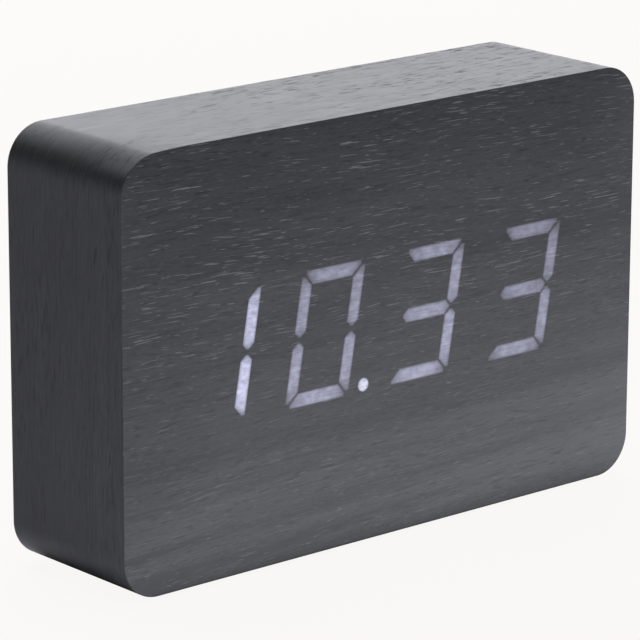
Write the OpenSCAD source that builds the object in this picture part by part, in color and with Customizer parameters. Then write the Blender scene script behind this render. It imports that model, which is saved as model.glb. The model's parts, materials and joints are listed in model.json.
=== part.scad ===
// Digital alarm clock: a veneered wooden block with a lit display that shines through its front veneer.
// X runs to the right, Y to the back and Z up. The feet stand on Z = 0, and the block is centred on X and Y.

/* [Case] */
// Width of the block
case_w = 151; // [138:0.5:175]
// Height of the block without its feet
case_h = 98; // [90:0.5:120]
// Depth of the block from front to back
case_d = 39.4; // [39:0.2:48]
// Radius of the four corners, seen from the front
corner_r = 9.2; // [6:0.2:12]
// Thickness of each veneer sheet
veneer_t = 0.6; // [0.4:0.1:0.9]
// Width of the butt joint of the edge veneer, under the clock
seam_w = 0.2; // [0.1:0.05:0.4]
// Wall of the frame ring
ring_wall = 9; // [8:0.25:9.25]
// Thickness of the front board
board_t = 5; // [4:0.25:5.5]
// Corner radius of the space inside the frame ring
pocket_r = 4; // [2:0.5:5]
// Side of each square corner post
post_w = 11; // [9:0.5:12]
// Diameter of each rubber foot
foot_d = 9; // [6:0.5:12]
// Height of each rubber foot
foot_h = 1; // [0.6:0.1:2]
// Foot centres in from the left and right sides
foot_in_x = 20; // [14:1:40]
// Foot centres in from the front and back
foot_in_y = 9; // [8:0.5:12]

/* [Display] */
// Height of a digit over its outer edges
digit_h = 30.2; // [28:0.2:32]
// Width of a digit over its outer edges, before it leans, as a share of the distance between digits
digit_share = 0.607; // [0.56:0.001:0.62]
// Lean of the digits to the right, in degrees
digit_lean = 9.8; // [0:0.2:11]
// Width of a segment
segment_w = 3; // [2.8:0.1:3.5]
// Gap between the slanted ends of two segments
segment_gap = 0.84; // [0.4:0.02:0.9]
// Half of the blunt tip of a segment
segment_tip = 0.4; // [0.1:0.05:0.5]
// Length cut off the sharp end of a slanted segment
segment_cut = 1.3; // [0.9:0.1:1.5]
// Diameter of the dot
dot_d = 2.9; // [2.8:0.1:3.6]
// Dot centre to the right of the second digit's centre, as a share of the distance between digits
dot_share = 0.452; // [0.43:0.002:0.48]
// Gap between the display board and the left wall of the frame ring
display_gap = 0.5; // [0.3:0.1:1]
// Space between the display board and the right wall of the frame ring
display_spare = 8.6; // [7:0.1:14]
// Display centre above the block's centre
display_z = 0.95; // [-2:0.05:2]
// Bare border of the mask round its digits
mask_border = 2.5; // [2:0.1:2.8]
// Thickness of the diffuser film
film_t = 0.25; // [0.1:0.05:0.4]
// Thickness of the mask's flange, behind the front board
flange_t = 4; // [3:0.25:5]
// Flange beyond the window at the left and right
flange_side = 2.4; // [1.5:0.1:2.7]
// Flange beyond the window at the top and bottom
flange_edge = 6; // [5:0.25:7]
// Step by which the wells narrow in the flange, on each side
well_step = 0.45; // [0.3:0.05:0.6]
// Length of a lamp
lamp_l = 2; // [1.6:0.1:2.2]
// Width of a lamp
lamp_w = 1.25; // [0.8:0.05:1.3]
// Height of a lamp
lamp_h = 0.8; // [0.5:0.1:1.2]
// Distance between the two lamps of a segment
lamp_apart = 5.4; // [4:0.2:6]
// Thickness of both circuit boards
pcb_t = 1.6; // [1:0.1:1.8]

/* [Rear panel] */
// Depth of the panel's outer face in the block's back
panel_recess = 1.2; // [1:0.1:1.6]
// Thickness of the panel
panel_t = 2.4; // [2.3:0.1:3]
// Gap between the panel and the frame ring
panel_gap = 0.3; // [0.1:0.05:0.5]
// Depth of the shallow hollows round the controls
dish_depth = 0.7; // [0.4:0.1:0.9]
// Diameter of a sound hole
sound_hole_d = 1.3; // [1:0.1:1.6]
// Radius of the ring of sound holes
sound_ring_r = 3; // [2.4:0.1:4]
// Diameter of a boss under the main board
boss_d = 6; // [5:0.5:7]

/* [Battery bay] */
// Diameter of a cell
cell_d = 10.5; // [10:0.1:10.6]
// Length of a cell with its nub
cell_l = 44.5; // [43:0.1:45]
// Diameter of a cell's nub
nub_d = 3.8; // [3:0.1:4.5]
// Length of a cell's nub
nub_l = 1.2; // [0.8:0.1:1.5]
// Distance from one cell to the next
cell_pitch = 11; // [10.9:0.05:11.4]
// Thickness of the contact plates
plate_t = 0.4; // [0.3:0.05:0.6]
// Height of the contact dimples
dimple_h = 0.8; // [0.5:0.1:1]
// Length of a coil spring
spring_l = 5.3; // [4.8:0.1:6]
// Radius of a coil spring at its plate
spring_r = 3.6; // [3:0.1:4]
// Radius of a coil spring at its cell
spring_tip_r = 2.4; // [2:0.1:2.8]
// Radius of the spring wire
spring_wire_r = 0.3; // [0.2:0.05:0.35]
// Wall of the bay
bay_wall = 2; // [1.6:0.1:2.4]
// Floor of the bay
bay_floor = 1.5; // [1.2:0.1:2]
// Thickness of the door
door_t = 1.8; // [1.5:0.1:2]
// Width of the ledge under the door
ledge_w = 1.2; // [0.8:0.1:1.4]
// Gap round the door
door_gap = 0.25; // [0.15:0.05:0.35]
// Radius of the door's round lower edge
knuckle_r = 1; // [0.9:0.05:1.1]
// Radius of the two pivot pegs
peg_r = 0.5; // [0.4:0.05:0.55]
// Length of the two pivot pegs
peg_l = 1.1; // [0.8:0.1:1.4]
// Width of the latch tab
tab_w = 10; // [8:0.5:14]
// Thickness of the latch tab
tab_t = 0.9; // [0.7:0.1:1]
// Inner radius of the latch tab's bend
tab_bend_r = 0.7; // [0.5:0.1:0.9]
// Depth of the latch tab below the door
tab_depth = 4.7; // [4:0.1:5]
// Height of the latch nose
nose_h = 0.6; // [0.4:0.1:0.7]
// Diameter of the battery leads
lead_d = 1.3; // [1:0.1:1.5]
// Radius of the bend in the battery leads
lead_bend_r = 2.5; // [2:0.1:3]

/* [Main board] */
// Width of the main board
main_w = 52; // [51:0.5:54]
// Height left free above and below the main board, up to the corner posts
main_post_gap = 1.4; // [0.6:0.1:3]
// Distance between the main board and the rear panel
main_behind = 6.5; // [6.3:0.1:7]
// Main board screws in from the board's edges
main_screw_in = 4; // [3.5:0.1:5]
// Width of a cable header
header_w = 18; // [16:0.5:20]
// Height of a cable header
header_h = 5; // [4.5:0.1:6]
// Depth of a cable header
header_d = 5.5; // [5:0.1:6]
// Wall of a cable header
header_wall = 0.7; // [0.5:0.1:0.9]
// Width of the flat cable
cable_w = 14; // [12:0.5:14.5]
// Thickness of the flat cable
cable_t = 0.9; // [0.7:0.1:1.2]
// Drop of the flat cable from the main board to the display board
cable_drop = 16; // [14:0.5:20]

/* [Controls] */
// Diameter of a button cap
button_d = 7.2; // [6:0.1:7.6]
// Height of a button cap above the panel
button_proud = 1; // [0.6:0.1:1]
// Travel of a button
button_travel = 0.5; // [0.3:0.05:0.5]
// Gap round a button cap
button_gap = 0.25; // [0.15:0.05:0.35]
// Flange of a button cap beyond its side
button_rim = 1.1; // [0.8:0.1:1.4]
// Distance from one button to the next
button_pitch = 14.5; // [13:0.5:16]
// Side of a push switch
push_w = 6; // [5.6:0.1:6.4]
// Height of a push switch base
push_h = 3.4; // [3:0.1:3.6]
// Diameter of a push switch stem
stem_d = 3.3; // [3:0.1:3.6]
// Height of a push switch stem's top above the board
stem_top = 5; // [4.9:0.05:5.1]
// Travel of the slide switch
slide_travel = 2.5; // [2:0.1:3]
// Side of the slide switch lever
lever_w = 1.8; // [1.5:0.1:2]
// Height of the lever's tip above the panel
lever_proud = 0.6; // [0.3:0.1:0.9]
// Width of the power socket
usb_w = 7.5; // [7.2:0.1:7.6]
// Height of the power socket
usb_h = 2.7; // [2.5:0.1:2.9]
// Wall of the power socket's shell
usb_wall = 0.3; // [0.25:0.05:0.35]
// Diameter of the buzzer
buzzer_d = 9.5; // [9:0.5:12]
// Diameter of the microphone
mic_d = 6; // [5:0.5:7]

/* [Hidden] */
$fn = 48;

// Small fits: loose holes, snug holes, contacts that only just touch, and the overlap that fuses two shapes
loose = 0.25;
snug = 0.05;
touch = 0.05;
fuse = 0.2;

// Case levels
mid_z = foot_h + case_h / 2;
y_front = -case_d / 2;
y_back = case_d / 2;
y_board0 = y_front + veneer_t;
y_board1 = y_board0 + board_t;
y_ring1 = y_back - veneer_t;
core_w = case_w - 2 * veneer_t;
core_h = case_h - 2 * veneer_t;
core_r = corner_r - veneer_t;
pocket_w = core_w - 2 * ring_wall;
pocket_h = core_h - 2 * ring_wall;
post_x = pocket_w / 2 - post_w / 2;
post_z = pocket_h / 2 - post_w / 2;
foot_x = case_w / 2 - foot_in_x;
foot_y = case_d / 2 - foot_in_y;

// Display layout, in the display's own plane with its centre at zero
lean_k = tan(digit_lean);
digit_count = 4;
flange_w = pocket_w - display_gap - display_spare;
window_w = flange_w - 2 * flange_side;
digits_w = window_w - 2 * mask_border;
digit_pitch = (digits_w - digit_h * lean_k) / (digit_count - 1 + digit_share);
digit_w = digit_share * digit_pitch;
dot_x = dot_share * digit_pitch;
half_w = (digit_w - segment_w) / 2;
half_h = (digit_h - segment_w) / 2;
mitre = segment_gap / sqrt(2);
well_mitre = mitre + well_step * sqrt(2);
well_w = segment_w - 2 * well_step;
well_cut = segment_cut - well_step * sqrt(2);
dot_digit = 1;
window_h = digit_h + 2 * mask_border;
flange_h = window_h + 2 * flange_edge;
display_x = display_gap + flange_w / 2 - pocket_w / 2;
display_mid_z = mid_z + display_z;
y_film1 = y_board0 + film_t;
y_lamp0 = y_board1 + flange_t;
y_display1 = y_lamp0 + pcb_t;
display_screw_d = 2.2;
display_screw_l = 3.4;
display_screw_head_d = 4;
display_screw_head_h = 1.4;
display_screw_in = 8;
display_screw_x = window_w / 2 - display_screw_in;
display_screw_z = window_h / 2 + flange_edge / 2;

// Rear panel levels
y_panel1 = y_back - panel_recess;
y_panel0 = y_panel1 - panel_t;
panel_w = pocket_w - 2 * panel_gap;
panel_h = pocket_h - 2 * panel_gap;
panel_r = pocket_r - panel_gap;
panel_screw_d = 2.4;
panel_screw_l = 12;
panel_screw_head_d = 5;
panel_screw_head_h = 1.4;
screw_recess = 1.5;

// Battery bay, whose cells lie along X with the first one on top. The width that the bay and the main board
// leave in the case is shared out left of the bay, between the two, and right of the board.
cell_count = 4;
cell_top_gap = 0.5;
cell_floor_gap = 0.3;
cradle_gap = 0.2;
cradle_t = 2;
cradle_x = cell_l * 0.28;
bay_w = 2 * plate_t + dimple_h + cell_l + spring_l + 2 * touch;
bay_h = cell_count * cell_pitch + 2 * cell_floor_gap;
spare_left = 5.6;
spare_middle = 12.7;
spare_right = 6;
spare_w = pocket_w - bay_w - 2 * bay_wall - main_w;
spare_unit = spare_w / (spare_left + spare_middle + spare_right);
bay_x = spare_unit * spare_left + bay_wall + bay_w / 2 - pocket_w / 2;
bay_x0 = bay_x - bay_w / 2;
bay_x1 = bay_x + bay_w / 2;
bay_z0 = mid_z - bay_h / 2;
bay_z1 = mid_z + bay_h / 2;
y_door0 = y_panel1 - door_t;
cell_y = y_door0 - cell_top_gap - cell_d / 2;
y_bay1 = cell_y - cell_d / 2 - cell_floor_gap;
y_bay0 = y_bay1 - bay_floor;
plate_h = 9;
plate_y = cell_y;
tag_w = 3;
tag_below = 1.9;
lead_y = y_bay0 - tag_below / 2 - touch;
lead_in = 5;

// Battery door and its latch
door_rest_gap = 0.1;
open_x0 = bay_x0 - ledge_w;
open_x1 = bay_x1 + ledge_w;
open_z0 = bay_z0 - ledge_w;
open_z1 = bay_z1 + ledge_w;
door_x0 = open_x0 + door_gap;
door_x1 = open_x1 - door_gap;
door_z1 = open_z1 - door_gap;
knuckle_under = 0.1;
knuckle_gap = 0.4;
axis_y = y_panel1 - knuckle_r - knuckle_under;
axis_z = open_z0 + knuckle_gap + knuckle_r;
door_rib_t = 1.2;
door_rib_h = 3.2;
tab_y0 = y_door0 - tab_depth;
tab_ring_r = tab_bend_r + tab_t;
tab_top = door_z1 + 2 * tab_bend_r + tab_t;
tab_end_y = y_panel1 - 0.2;
nose_y = (y_panel0 + y_panel1) / 2;
nose_l = 1.4;
nose_gap = 0.15;
lip_z = tab_top + nose_h + nose_gap;
latch_gap = 0.5;
latch_wall = 1.2;
latch_z1 = lip_z + 0.8;
latch_half_w = tab_w / 2 + latch_gap;
scoop_r = 5;
scoop_depth = 0.9;
grip_count = 3;
grip_h = 0.3;
grip_w = 0.9;
grip_l = 14;
grip_pitch = 2.2;

// Main board and the places of its parts, out from its middle and up or down from it
main_h = pocket_h - 2 * (post_w + main_post_gap);
main_x = pocket_w / 2 - spare_unit * spare_right - main_w / 2;
y_main1 = y_panel0 - main_behind;
y_main0 = y_main1 - pcb_t;
main_screw_x = main_w / 2 - main_screw_in;
main_screw_z = main_h / 2 - main_screw_in;
main_screw_d = 2.2;
main_screw_l = 6.5;
main_screw_head_d = 4;
main_screw_head_h = 1.4;
button_up = 14;
button_z = mid_z + button_up;
control_out = 14;
control_down = 3;
slide_x = main_x - control_out;
slide_z = mid_z - control_down;
mic_x = main_x + control_out;
mic_z = mid_z - control_down;
mic_h = 5.2;
mic_hole_d = 1.4;
inlet_out = 12;
inlet_down = 16;
buzzer_x = main_x - inlet_out;
buzzer_z = mid_z - inlet_down;
buzzer_h = 5;
buzzer_hole_d = 2;
usb_x = main_x + inlet_out;
usb_z = mid_z - inlet_down;
chip_out = 12;
chip_up = 6;
chip_x = main_x + chip_out;
chip_z = mid_z + chip_up;
crystal_down = 10;
crystal_x = main_x + chip_out;
crystal_z = mid_z - crystal_down;
crystal_l = 11;
crystal_w = 4.6;
crystal_h = 3.6;
capacitor_out = 6;
capacitor_x = main_x - capacitor_out;
capacitor_z = mid_z - inlet_down;
capacitor_d = 6.3;
capacitor_h = 7.7;
thermistor_out = 2;
thermistor_in = 5;
thermistor_x = main_x + thermistor_out;
thermistor_z = mid_z - main_h / 2 + thermistor_in;
cable_up = 9;
cable_x = main_x - control_out;
cable_main_z = mid_z + cable_up;
cable_display_z = cable_main_z - cable_drop;

// Chips: the driver is on the display board, behind the battery bay, and the controller on the main board
driver_x = bay_x;
driver_z = mid_z;
driver_l = 18;
driver_legs = 14;
controller_l = 12.8;
controller_legs = 10;
chip_w = 7.5;
chip_t = 2.3;
leg_pitch = 1.27;
leg_t = 0.2;
leg_reach = 1.4;
chip_stand = 0.15;

// Cable plugs
plug_gap = 0.2;
header_floor = 1;
pin_count = 8;
pin_pitch = 2;
pin_w = 0.5;
pin_h = 1.6;
plug_lift = header_floor + pin_h + plug_gap;
plug_proud = 1;
plug_top = header_d + plug_proud;
cable_y0 = y_display1 + plug_top;
cable_y1 = y_main0 - plug_top;
cable_bend_r = (cable_y1 - cable_y0) / 2;

// Buttons, from the switch stem out to the cap
push_floor = 1.2;
stem_bottom = push_floor + button_travel + 0.2;
button_rim_t = 1.1;
button_y0 = y_main1 + stem_top;
button_y1 = y_panel1 + button_proud;
button_edge = 0.4;
button_dish_r = button_d / 2 + 1.6;
mark_h = 0.15;
mark_r = 1.5;
mark_line = 0.6;

// Slide switch
slide_w = 8.8;
slide_h = 4.6;
slide_d = 4.8;
slide_floor = 1.6;
lever_foot_w = 2.8;
lever_foot_d = 2;
lever_rest = -slide_travel / 2;
slide_slot_w = slide_travel + lever_foot_w + 2 * loose;
panel_slot_w = slide_travel + lever_w + 4 * loose;
panel_slot_h = lever_w + 4 * loose;
slide_dish_rim_w = 2;
slide_dish_rim_h = 1.5;
slide_dish_w = panel_slot_w + 2 * slide_dish_rim_w;
slide_dish_h = panel_slot_h + 2 * slide_dish_rim_h;
dish_corner_r = 1;

// Power socket
usb_chamfer = 0.85;
usb_base_h = 4;
usb_tongue_w = 3.7;
usb_tongue_t = 0.65;
usb_in = 0.4;
usb_cut_gap = 0.4;
usb_dish_rim = 2;
usb_dish_w = usb_w + 2 * usb_dish_rim;
usb_dish_h = usb_h + 2 * usb_dish_rim;

// Coil springs: rings per turn, sides of the wire and turns, with the wire's centres along the axis
spring_turns = 3.5;
spring_rings = 8;
spring_sides = 6;
spring_steps = spring_turns * spring_rings;
spring_rise = spring_l - 2 * spring_wire_r - 2 * touch;

function digit_at(i) = (i - (digit_count - 1) / 2) * digit_pitch;
function cell_z(i) = mid_z + ((cell_count - 1) / 2 - i) * cell_pitch;
function cell_side(i) = i % 2 == 0 ? 1 : -1;
function leaned(p) = [p[0] + p[1] * lean_k, p[1]];
function corners(x, z) = [for (sx = [-1, 1]) for (sz = [-1, 1]) [sx * x, sz * z]];

// Outlines of the segments of one digit: w is the segment's width, m the setback of its slanted ends
// and c the length cut off their sharp tips
function end_bar(up, w, m, c) = [
  [-half_w - w / 2 + m + c, up * (half_h + w / 2)],
  [half_w + w / 2 - m - c, up * (half_h + w / 2)],
  [half_w + w / 2 - m - c, up * (half_h + w / 2 - c)],
  [half_w - w / 2 - m, up * (half_h - w / 2)],
  [-half_w + w / 2 + m, up * (half_h - w / 2)],
  [-half_w - w / 2 + m + c, up * (half_h + w / 2 - c)]
];
function side_bar(side, up, w, m, c) = [
  [side * (half_w + w / 2), up * (half_h + w / 2 - m - c)],
  [side * (half_w + w / 2 - c), up * (half_h + w / 2 - m - c)],
  [side * (half_w - w / 2), up * (half_h - w / 2 - m)],
  [side * (half_w - w / 2), up * (m + w / 2)],
  [side * (half_w - segment_tip), up * (m + segment_tip)],
  [side * (half_w + segment_tip), up * (m + segment_tip)],
  [side * (half_w + w / 2), up * (m + w / 2)]
];
function middle_bar(w, m) = [
  for (side = [-1, 1])
    for (p = [[w / 2, w / 2], [segment_tip, segment_tip], [segment_tip, -segment_tip], [w / 2, -w / 2]])
      [side * (half_w - m - p[0]), -side * p[1]]
];
function digit_bars(w, m, c) = concat(
  [for (up = [1, -1]) end_bar(up, w, m, c)],
  [for (side = [-1, 1]) for (up = [1, -1]) side_bar(side, up, w, m, c)],
  [middle_bar(w, m)]
);

// Places of the lamps of one digit, each with the turn of its lamp
digit_lamps = concat(
  [for (up = [-1, 0, 1]) for (k = [-1, 1]) [k * lamp_apart / 2, up * half_h, 0]],
  [
    for (s = [-1, 1]) for (up = [-1, 1]) for (k = [-1, 1])
      [s * half_w, up * half_h / 2 + k * lamp_apart / 2, 90]
  ]
);
dot_at = [digit_at(dot_digit), 0] + leaned([dot_x, -half_h]);

// Points of a conical coil along X, and the least space between its turns
function coil_radius(t) = spring_r + (spring_tip_r - spring_r) * t;
function coil_point(k) =
  let (t = k / spring_steps, a = 360 * k / spring_rings)
  [spring_wire_r + touch + spring_rise * t, coil_radius(t) * cos(a), coil_radius(t) * sin(a)];
function coil_ring(k) =
  let (c = coil_point(k), a = 360 * k / spring_rings)
  [for (j = [0:spring_sides - 1])
    let (b = 360 * j / spring_sides)
    c + spring_wire_r * [sin(b), cos(b) * cos(a), cos(b) * sin(a)]];
coil_gap = min([for (k = [0:spring_steps - spring_rings]) for (j = [k + spring_rings - 2:spring_steps])
  norm(coil_point(k) - coil_point(j))]) - 2 * spring_wire_r;
echo(least_gap_between_spring_turns = coil_gap);

// A flat outline in X and Z, raised from y0 to y1
module slab(y0, y1) {
  translate([0, y1, 0]) rotate([90, 0, 0]) linear_extrude(height = y1 - y0) children();
}

// A flat outline in Y and Z, raised from x0 to x1
module slab_x(x0, x1) {
  translate([x0, 0, 0]) rotate([90, 0, 90]) linear_extrude(height = x1 - x0) children();
}

module block(x0, x1, y0, y1, z0, z1) {
  translate([x0, y0, z0]) cube([x1 - x0, y1 - y0, z1 - z0]);
}

module rod_x(y, z, r, x0, x1) {
  translate([x0, y, z]) rotate([0, 90, 0]) cylinder(r = r, h = x1 - x0);
}

module rod_y(x, z, r, y0, y1) {
  translate([x, y0, z]) rotate([-90, 0, 0]) cylinder(r = r, h = y1 - y0);
}

// Stands a piece that is drawn upright on a board, facing the back or the front
module facing_back(x, y, z) {
  translate([x, y, z]) rotate([-90, 0, 0]) children();
}

module facing_front(x, y, z) {
  translate([x, y, z]) rotate([90, 0, 0]) children();
}

module round_rect(w, h, r) {
  square([w - 2 * r, h], center = true);
  square([w, h - 2 * r], center = true);
  for (p = corners(w / 2 - r, h / 2 - r)) translate(p) circle(r = r);
}

module on_case() {
  translate([0, mid_z]) children();
}

module on_display() {
  translate([display_x, display_mid_z]) children();
}

// Screw with a round head and a cross recess, its seat at zero and its shank pointing down
module screw(d, l, head_d, head_h) {
  slot_w = head_d * 0.14;
  slot_l = head_d * 0.6;
  difference() {
    union() {
      translate([0, 0, -l]) cylinder(d1 = d * 0.3, d2 = d, h = d);
      translate([0, 0, d - l]) cylinder(d = d, h = l - d + head_h / 2);
      cylinder(d = head_d, h = head_h);
    }
    for (turn = [0, 90])
      rotate([0, 0, turn]) translate([-slot_l / 2, -slot_w / 2, head_h / 2]) cube([slot_l, slot_w, head_h]);
  }
}

// Chip with bent legs along both long sides, standing on its legs
module chip(body_l, legs) {
  leg_w = leg_pitch * 0.32;
  knee = chip_t / 2 + chip_stand;
  bend = leg_reach / 2;
  translate([-body_l / 2, -chip_w / 2, chip_stand]) cube([body_l, chip_w, chip_t]);
  for (side = [0, 180]) rotate([0, 0, side])
    for (i = [0:legs - 1])
      translate([(i - (legs - 1) / 2) * leg_pitch + leg_w / 2, chip_w / 2, 0]) rotate([90, 0, -90])
        linear_extrude(height = leg_w)
          polygon([[fuse, knee], [fuse, knee + leg_t], [-bend, knee + leg_t], [-bend, leg_t],
            [-leg_reach, leg_t], [-leg_reach, 0], [leg_t - bend, 0], [leg_t - bend, knee]]);
}

module front_veneer() {
  color("#3c3d40") slab(y_front, y_board0) on_case() round_rect(case_w, case_h, corner_r);
}

module edge_veneer() {
  color("#48494c") difference() {
    slab(y_board0, y_ring1) on_case() difference() {
      round_rect(case_w, case_h, corner_r);
      round_rect(core_w, core_h, core_r);
    }
    block(-seam_w / 2, seam_w / 2, y_front, y_back, 0, foot_h + 2 * veneer_t);
  }
}

module rear_veneer() {
  color("#3c3d40") slab(y_ring1, y_back) on_case() difference() {
    round_rect(case_w, case_h, corner_r);
    round_rect(pocket_w, pocket_h, pocket_r);
  }
}

module front_board() {
  color("#a07c52") difference() {
    slab(y_board0, y_board1) difference() {
      on_case() round_rect(core_w, core_h, core_r);
      on_display() square([window_w, window_h], center = true);
    }
    for (p = corners(display_screw_x, display_screw_z))
      rod_y(display_x + p[0], display_mid_z + p[1], display_screw_d / 2 + snug,
        y_board1 - display_screw_l - loose, y_board1 + fuse);
  }
}

module frame_ring() {
  color("#a98659") slab(y_board1, y_ring1) on_case() difference() {
    round_rect(core_w, core_h, core_r);
    round_rect(pocket_w, pocket_h, pocket_r);
  }
}

module corner_posts() {
  color("#c9a878") difference() {
    slab(y_board1, y_panel0) on_case() intersection() {
      round_rect(pocket_w, pocket_h, pocket_r);
      for (p = corners(post_x, post_z)) translate(p) square(post_w, center = true);
    }
    for (p = corners(post_x, post_z))
      rod_y(p[0], mid_z + p[1], panel_screw_d / 2 + snug, y_panel1 - screw_recess - panel_screw_l - loose,
        y_panel0 + fuse);
  }
}

module rubber_feet() {
  color("#202022") for (p = corners(foot_x, foot_y)) translate(p) cylinder(d = foot_d, h = foot_h);
}

module diffuser_film() {
  color("white") slab(y_board0, y_film1)
    on_display() square([window_w - 2 * loose, window_h - 2 * loose], center = true);
}

// Every segment and the dot of the display as flat shapes
module display_wells(w, m, c, dot) {
  for (i = [0:digit_count - 1])
    for (bar = digit_bars(w, m, c))
      polygon([for (p = bar) [digit_at(i), 0] + leaned(p)]);
  translate(dot_at) circle(d = dot);
}

module display_screw_holes() {
  for (p = corners(display_screw_x, display_screw_z)) translate(p) circle(d = display_screw_d + 2 * loose);
}

module segment_mask() {
  color("#f2f2f0") {
    slab(y_film1, y_board1) on_display() difference() {
      square([window_w - 2 * loose, window_h - 2 * loose], center = true);
      display_wells(segment_w, mitre, segment_cut, dot_d);
    }
    slab(y_board1, y_lamp0) on_display() difference() {
      square([flange_w, flange_h], center = true);
      display_wells(well_w, well_mitre, well_cut, dot_d - 2 * well_step);
      display_screw_holes();
    }
  }
}

module display_board() {
  color("#1f6b3a") slab(y_lamp0, y_display1) on_display() difference() {
    square([flange_w, flange_h], center = true);
    display_screw_holes();
  }
}

module lamp(p, turn) {
  translate(p) rotate(turn) square([lamp_l, lamp_w], center = true);
}

module segment_lamps() {
  color("#e6e6ff") slab(y_lamp0 - lamp_h, y_lamp0) on_display() {
    for (i = [0:digit_count - 1])
      for (spot = digit_lamps) lamp([digit_at(i), 0] + leaned(spot), spot[2]);
    translate(dot_at) square(lamp_w, center = true);
  }
}

module display_driver_chip() {
  color("#1b1b1d") facing_back(driver_x, y_display1, driver_z) chip(driver_l, driver_legs);
}

module cable_header() {
  color("#efece2") {
    difference() {
      translate([-header_w / 2, -header_h / 2, 0]) cube([header_w, header_h, header_d]);
      translate([header_wall - header_w / 2, header_wall - header_h / 2, header_floor])
        cube([header_w - 2 * header_wall, header_h - 2 * header_wall, header_d]);
    }
    for (i = [0:pin_count - 1])
      translate([(i - (pin_count - 1) / 2) * pin_pitch - pin_w / 2, -pin_w / 2, header_floor - fuse])
        cube([pin_w, pin_w, pin_h + fuse]);
  }
}

module display_header() {
  facing_back(cable_x, y_display1, cable_display_z) cable_header();
}

module main_header() {
  facing_front(cable_x, y_main0, cable_main_z) cable_header();
}

module display_screws() {
  color("silver") for (p = corners(display_screw_x, display_screw_z))
    facing_back(display_x + p[0], y_display1, display_mid_z + p[1])
      screw(display_screw_d, display_screw_l + flange_t + pcb_t, display_screw_head_d, display_screw_head_h);
}

// A quarter of the cable's bend, with its centre at c, in the quadrant that sy and sz point to
module cable_bend(c, sy, sz) {
  outer = cable_bend_r + cable_t / 2;
  translate(c) intersection() {
    difference() {
      circle(r = outer);
      circle(r = cable_bend_r - cable_t / 2);
    }
    translate([sy * outer / 2, sz * outer / 2]) square(outer, center = true);
  }
}

module cable_plug() {
  w = header_w - 2 * header_wall - 2 * plug_gap;
  h = header_h - 2 * header_wall - 2 * plug_gap;
  translate([-w / 2, -h / 2, plug_lift]) cube([w, h, plug_top - plug_lift]);
}

module display_cable() {
  color("#8b8d92") {
    facing_back(cable_x, y_display1, cable_display_z) cable_plug();
    facing_front(cable_x, y_main0, cable_main_z) cable_plug();
    slab_x(cable_x - cable_w / 2, cable_x + cable_w / 2) {
      cable_bend([cable_y0, cable_display_z + cable_bend_r], 1, -1);
      cable_bend([cable_y1, cable_main_z - cable_bend_r], -1, 1);
      translate([cable_y0 + cable_bend_r - cable_t / 2, cable_display_z + cable_bend_r])
        square([cable_t, cable_drop - 2 * cable_bend_r]);
      for (end = [[cable_y0 - fuse, cable_display_z], [cable_y1, cable_main_z]])
        translate([end[0], end[1] - cable_t / 2]) square([fuse, cable_t]);
    }
  }
}

module main_board() {
  color("#1f6b3a") slab(y_main0, y_main1) translate([main_x, mid_z]) difference() {
    square([main_w, main_h], center = true);
    for (p = corners(main_screw_x, main_screw_z)) translate(p) circle(d = main_screw_d + 2 * loose);
  }
}

module controller_chip() {
  color("#1b1b1d") facing_front(chip_x, y_main0, chip_z) chip(controller_l, controller_legs);
}

module crystal_can() {
  color("#c8c8cc") facing_front(crystal_x, y_main0, crystal_z) linear_extrude(height = crystal_h) {
    square([crystal_l - crystal_w, crystal_w], center = true);
    for (s = [-1, 1]) translate([s * (crystal_l - crystal_w) / 2, 0]) circle(d = crystal_w);
  }
}

module smoothing_capacitor() {
  groove = 0.35;
  color("#2b3a6b") facing_front(capacitor_x, y_main0, capacitor_z) difference() {
    cylinder(d = capacitor_d, h = capacitor_h);
    translate([0, 0, capacitor_h * 0.12]) difference() {
      cylinder(d = capacitor_d + 2 * groove, h = 2 * groove);
      cylinder(d = capacitor_d - 2 * groove, h = 2 * groove);
    }
  }
}

module thermistor() {
  bead_d = 2.4;
  leg_d = 0.5;
  leg_l = 4;
  color("#26221e") facing_front(thermistor_x, y_main0, thermistor_z) {
    translate([0, 0, leg_l + bead_d / 3]) sphere(d = bead_d);
    for (s = [-1, 1]) translate([s * leg_d, 0, 0]) cylinder(d = leg_d, h = leg_l + bead_d / 3);
  }
}

module microphone() {
  port_d = 2;
  color("#b9bbc0") facing_back(mic_x, y_main1, mic_z) difference() {
    cylinder(d = mic_d, h = mic_h);
    translate([0, 0, mic_h - port_d / 2]) cylinder(d = port_d, h = port_d);
  }
}

module buzzer() {
  color("#19191b") facing_back(buzzer_x, y_main1, buzzer_z) difference() {
    cylinder(d = buzzer_d, h = buzzer_h);
    translate([0, 0, buzzer_h / 2]) cylinder(d = buzzer_hole_d, h = buzzer_h);
  }
}

// Places of the set, up and down buttons along X
function button_x(i) = main_x + (1 - i) * button_pitch;

module push_switch_bases() {
  color("#3a3a3e") for (i = [0:2])
    facing_back(button_x(i), y_main1, button_z) difference() {
      translate([-push_w / 2, -push_w / 2, 0]) cube([push_w, push_w, push_h]);
      translate([0, 0, push_floor]) cylinder(d = stem_d + 2 * loose, h = push_h);
    }
}

module switch_stem(i) {
  color("#d8d8da") rod_y(button_x(i), button_z, stem_d / 2, y_main1 + stem_bottom, button_y0);
}

// Raised mark on a cap: a ring for set, and a triangle that points up or down
module button_mark(i) {
  if (i == 0) difference() {
    circle(r = mark_r);
    circle(r = mark_r - mark_line);
  }
  else rotate(i == 1 ? -90 : 90) circle(r = mark_r, $fn = 3);
}

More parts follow.
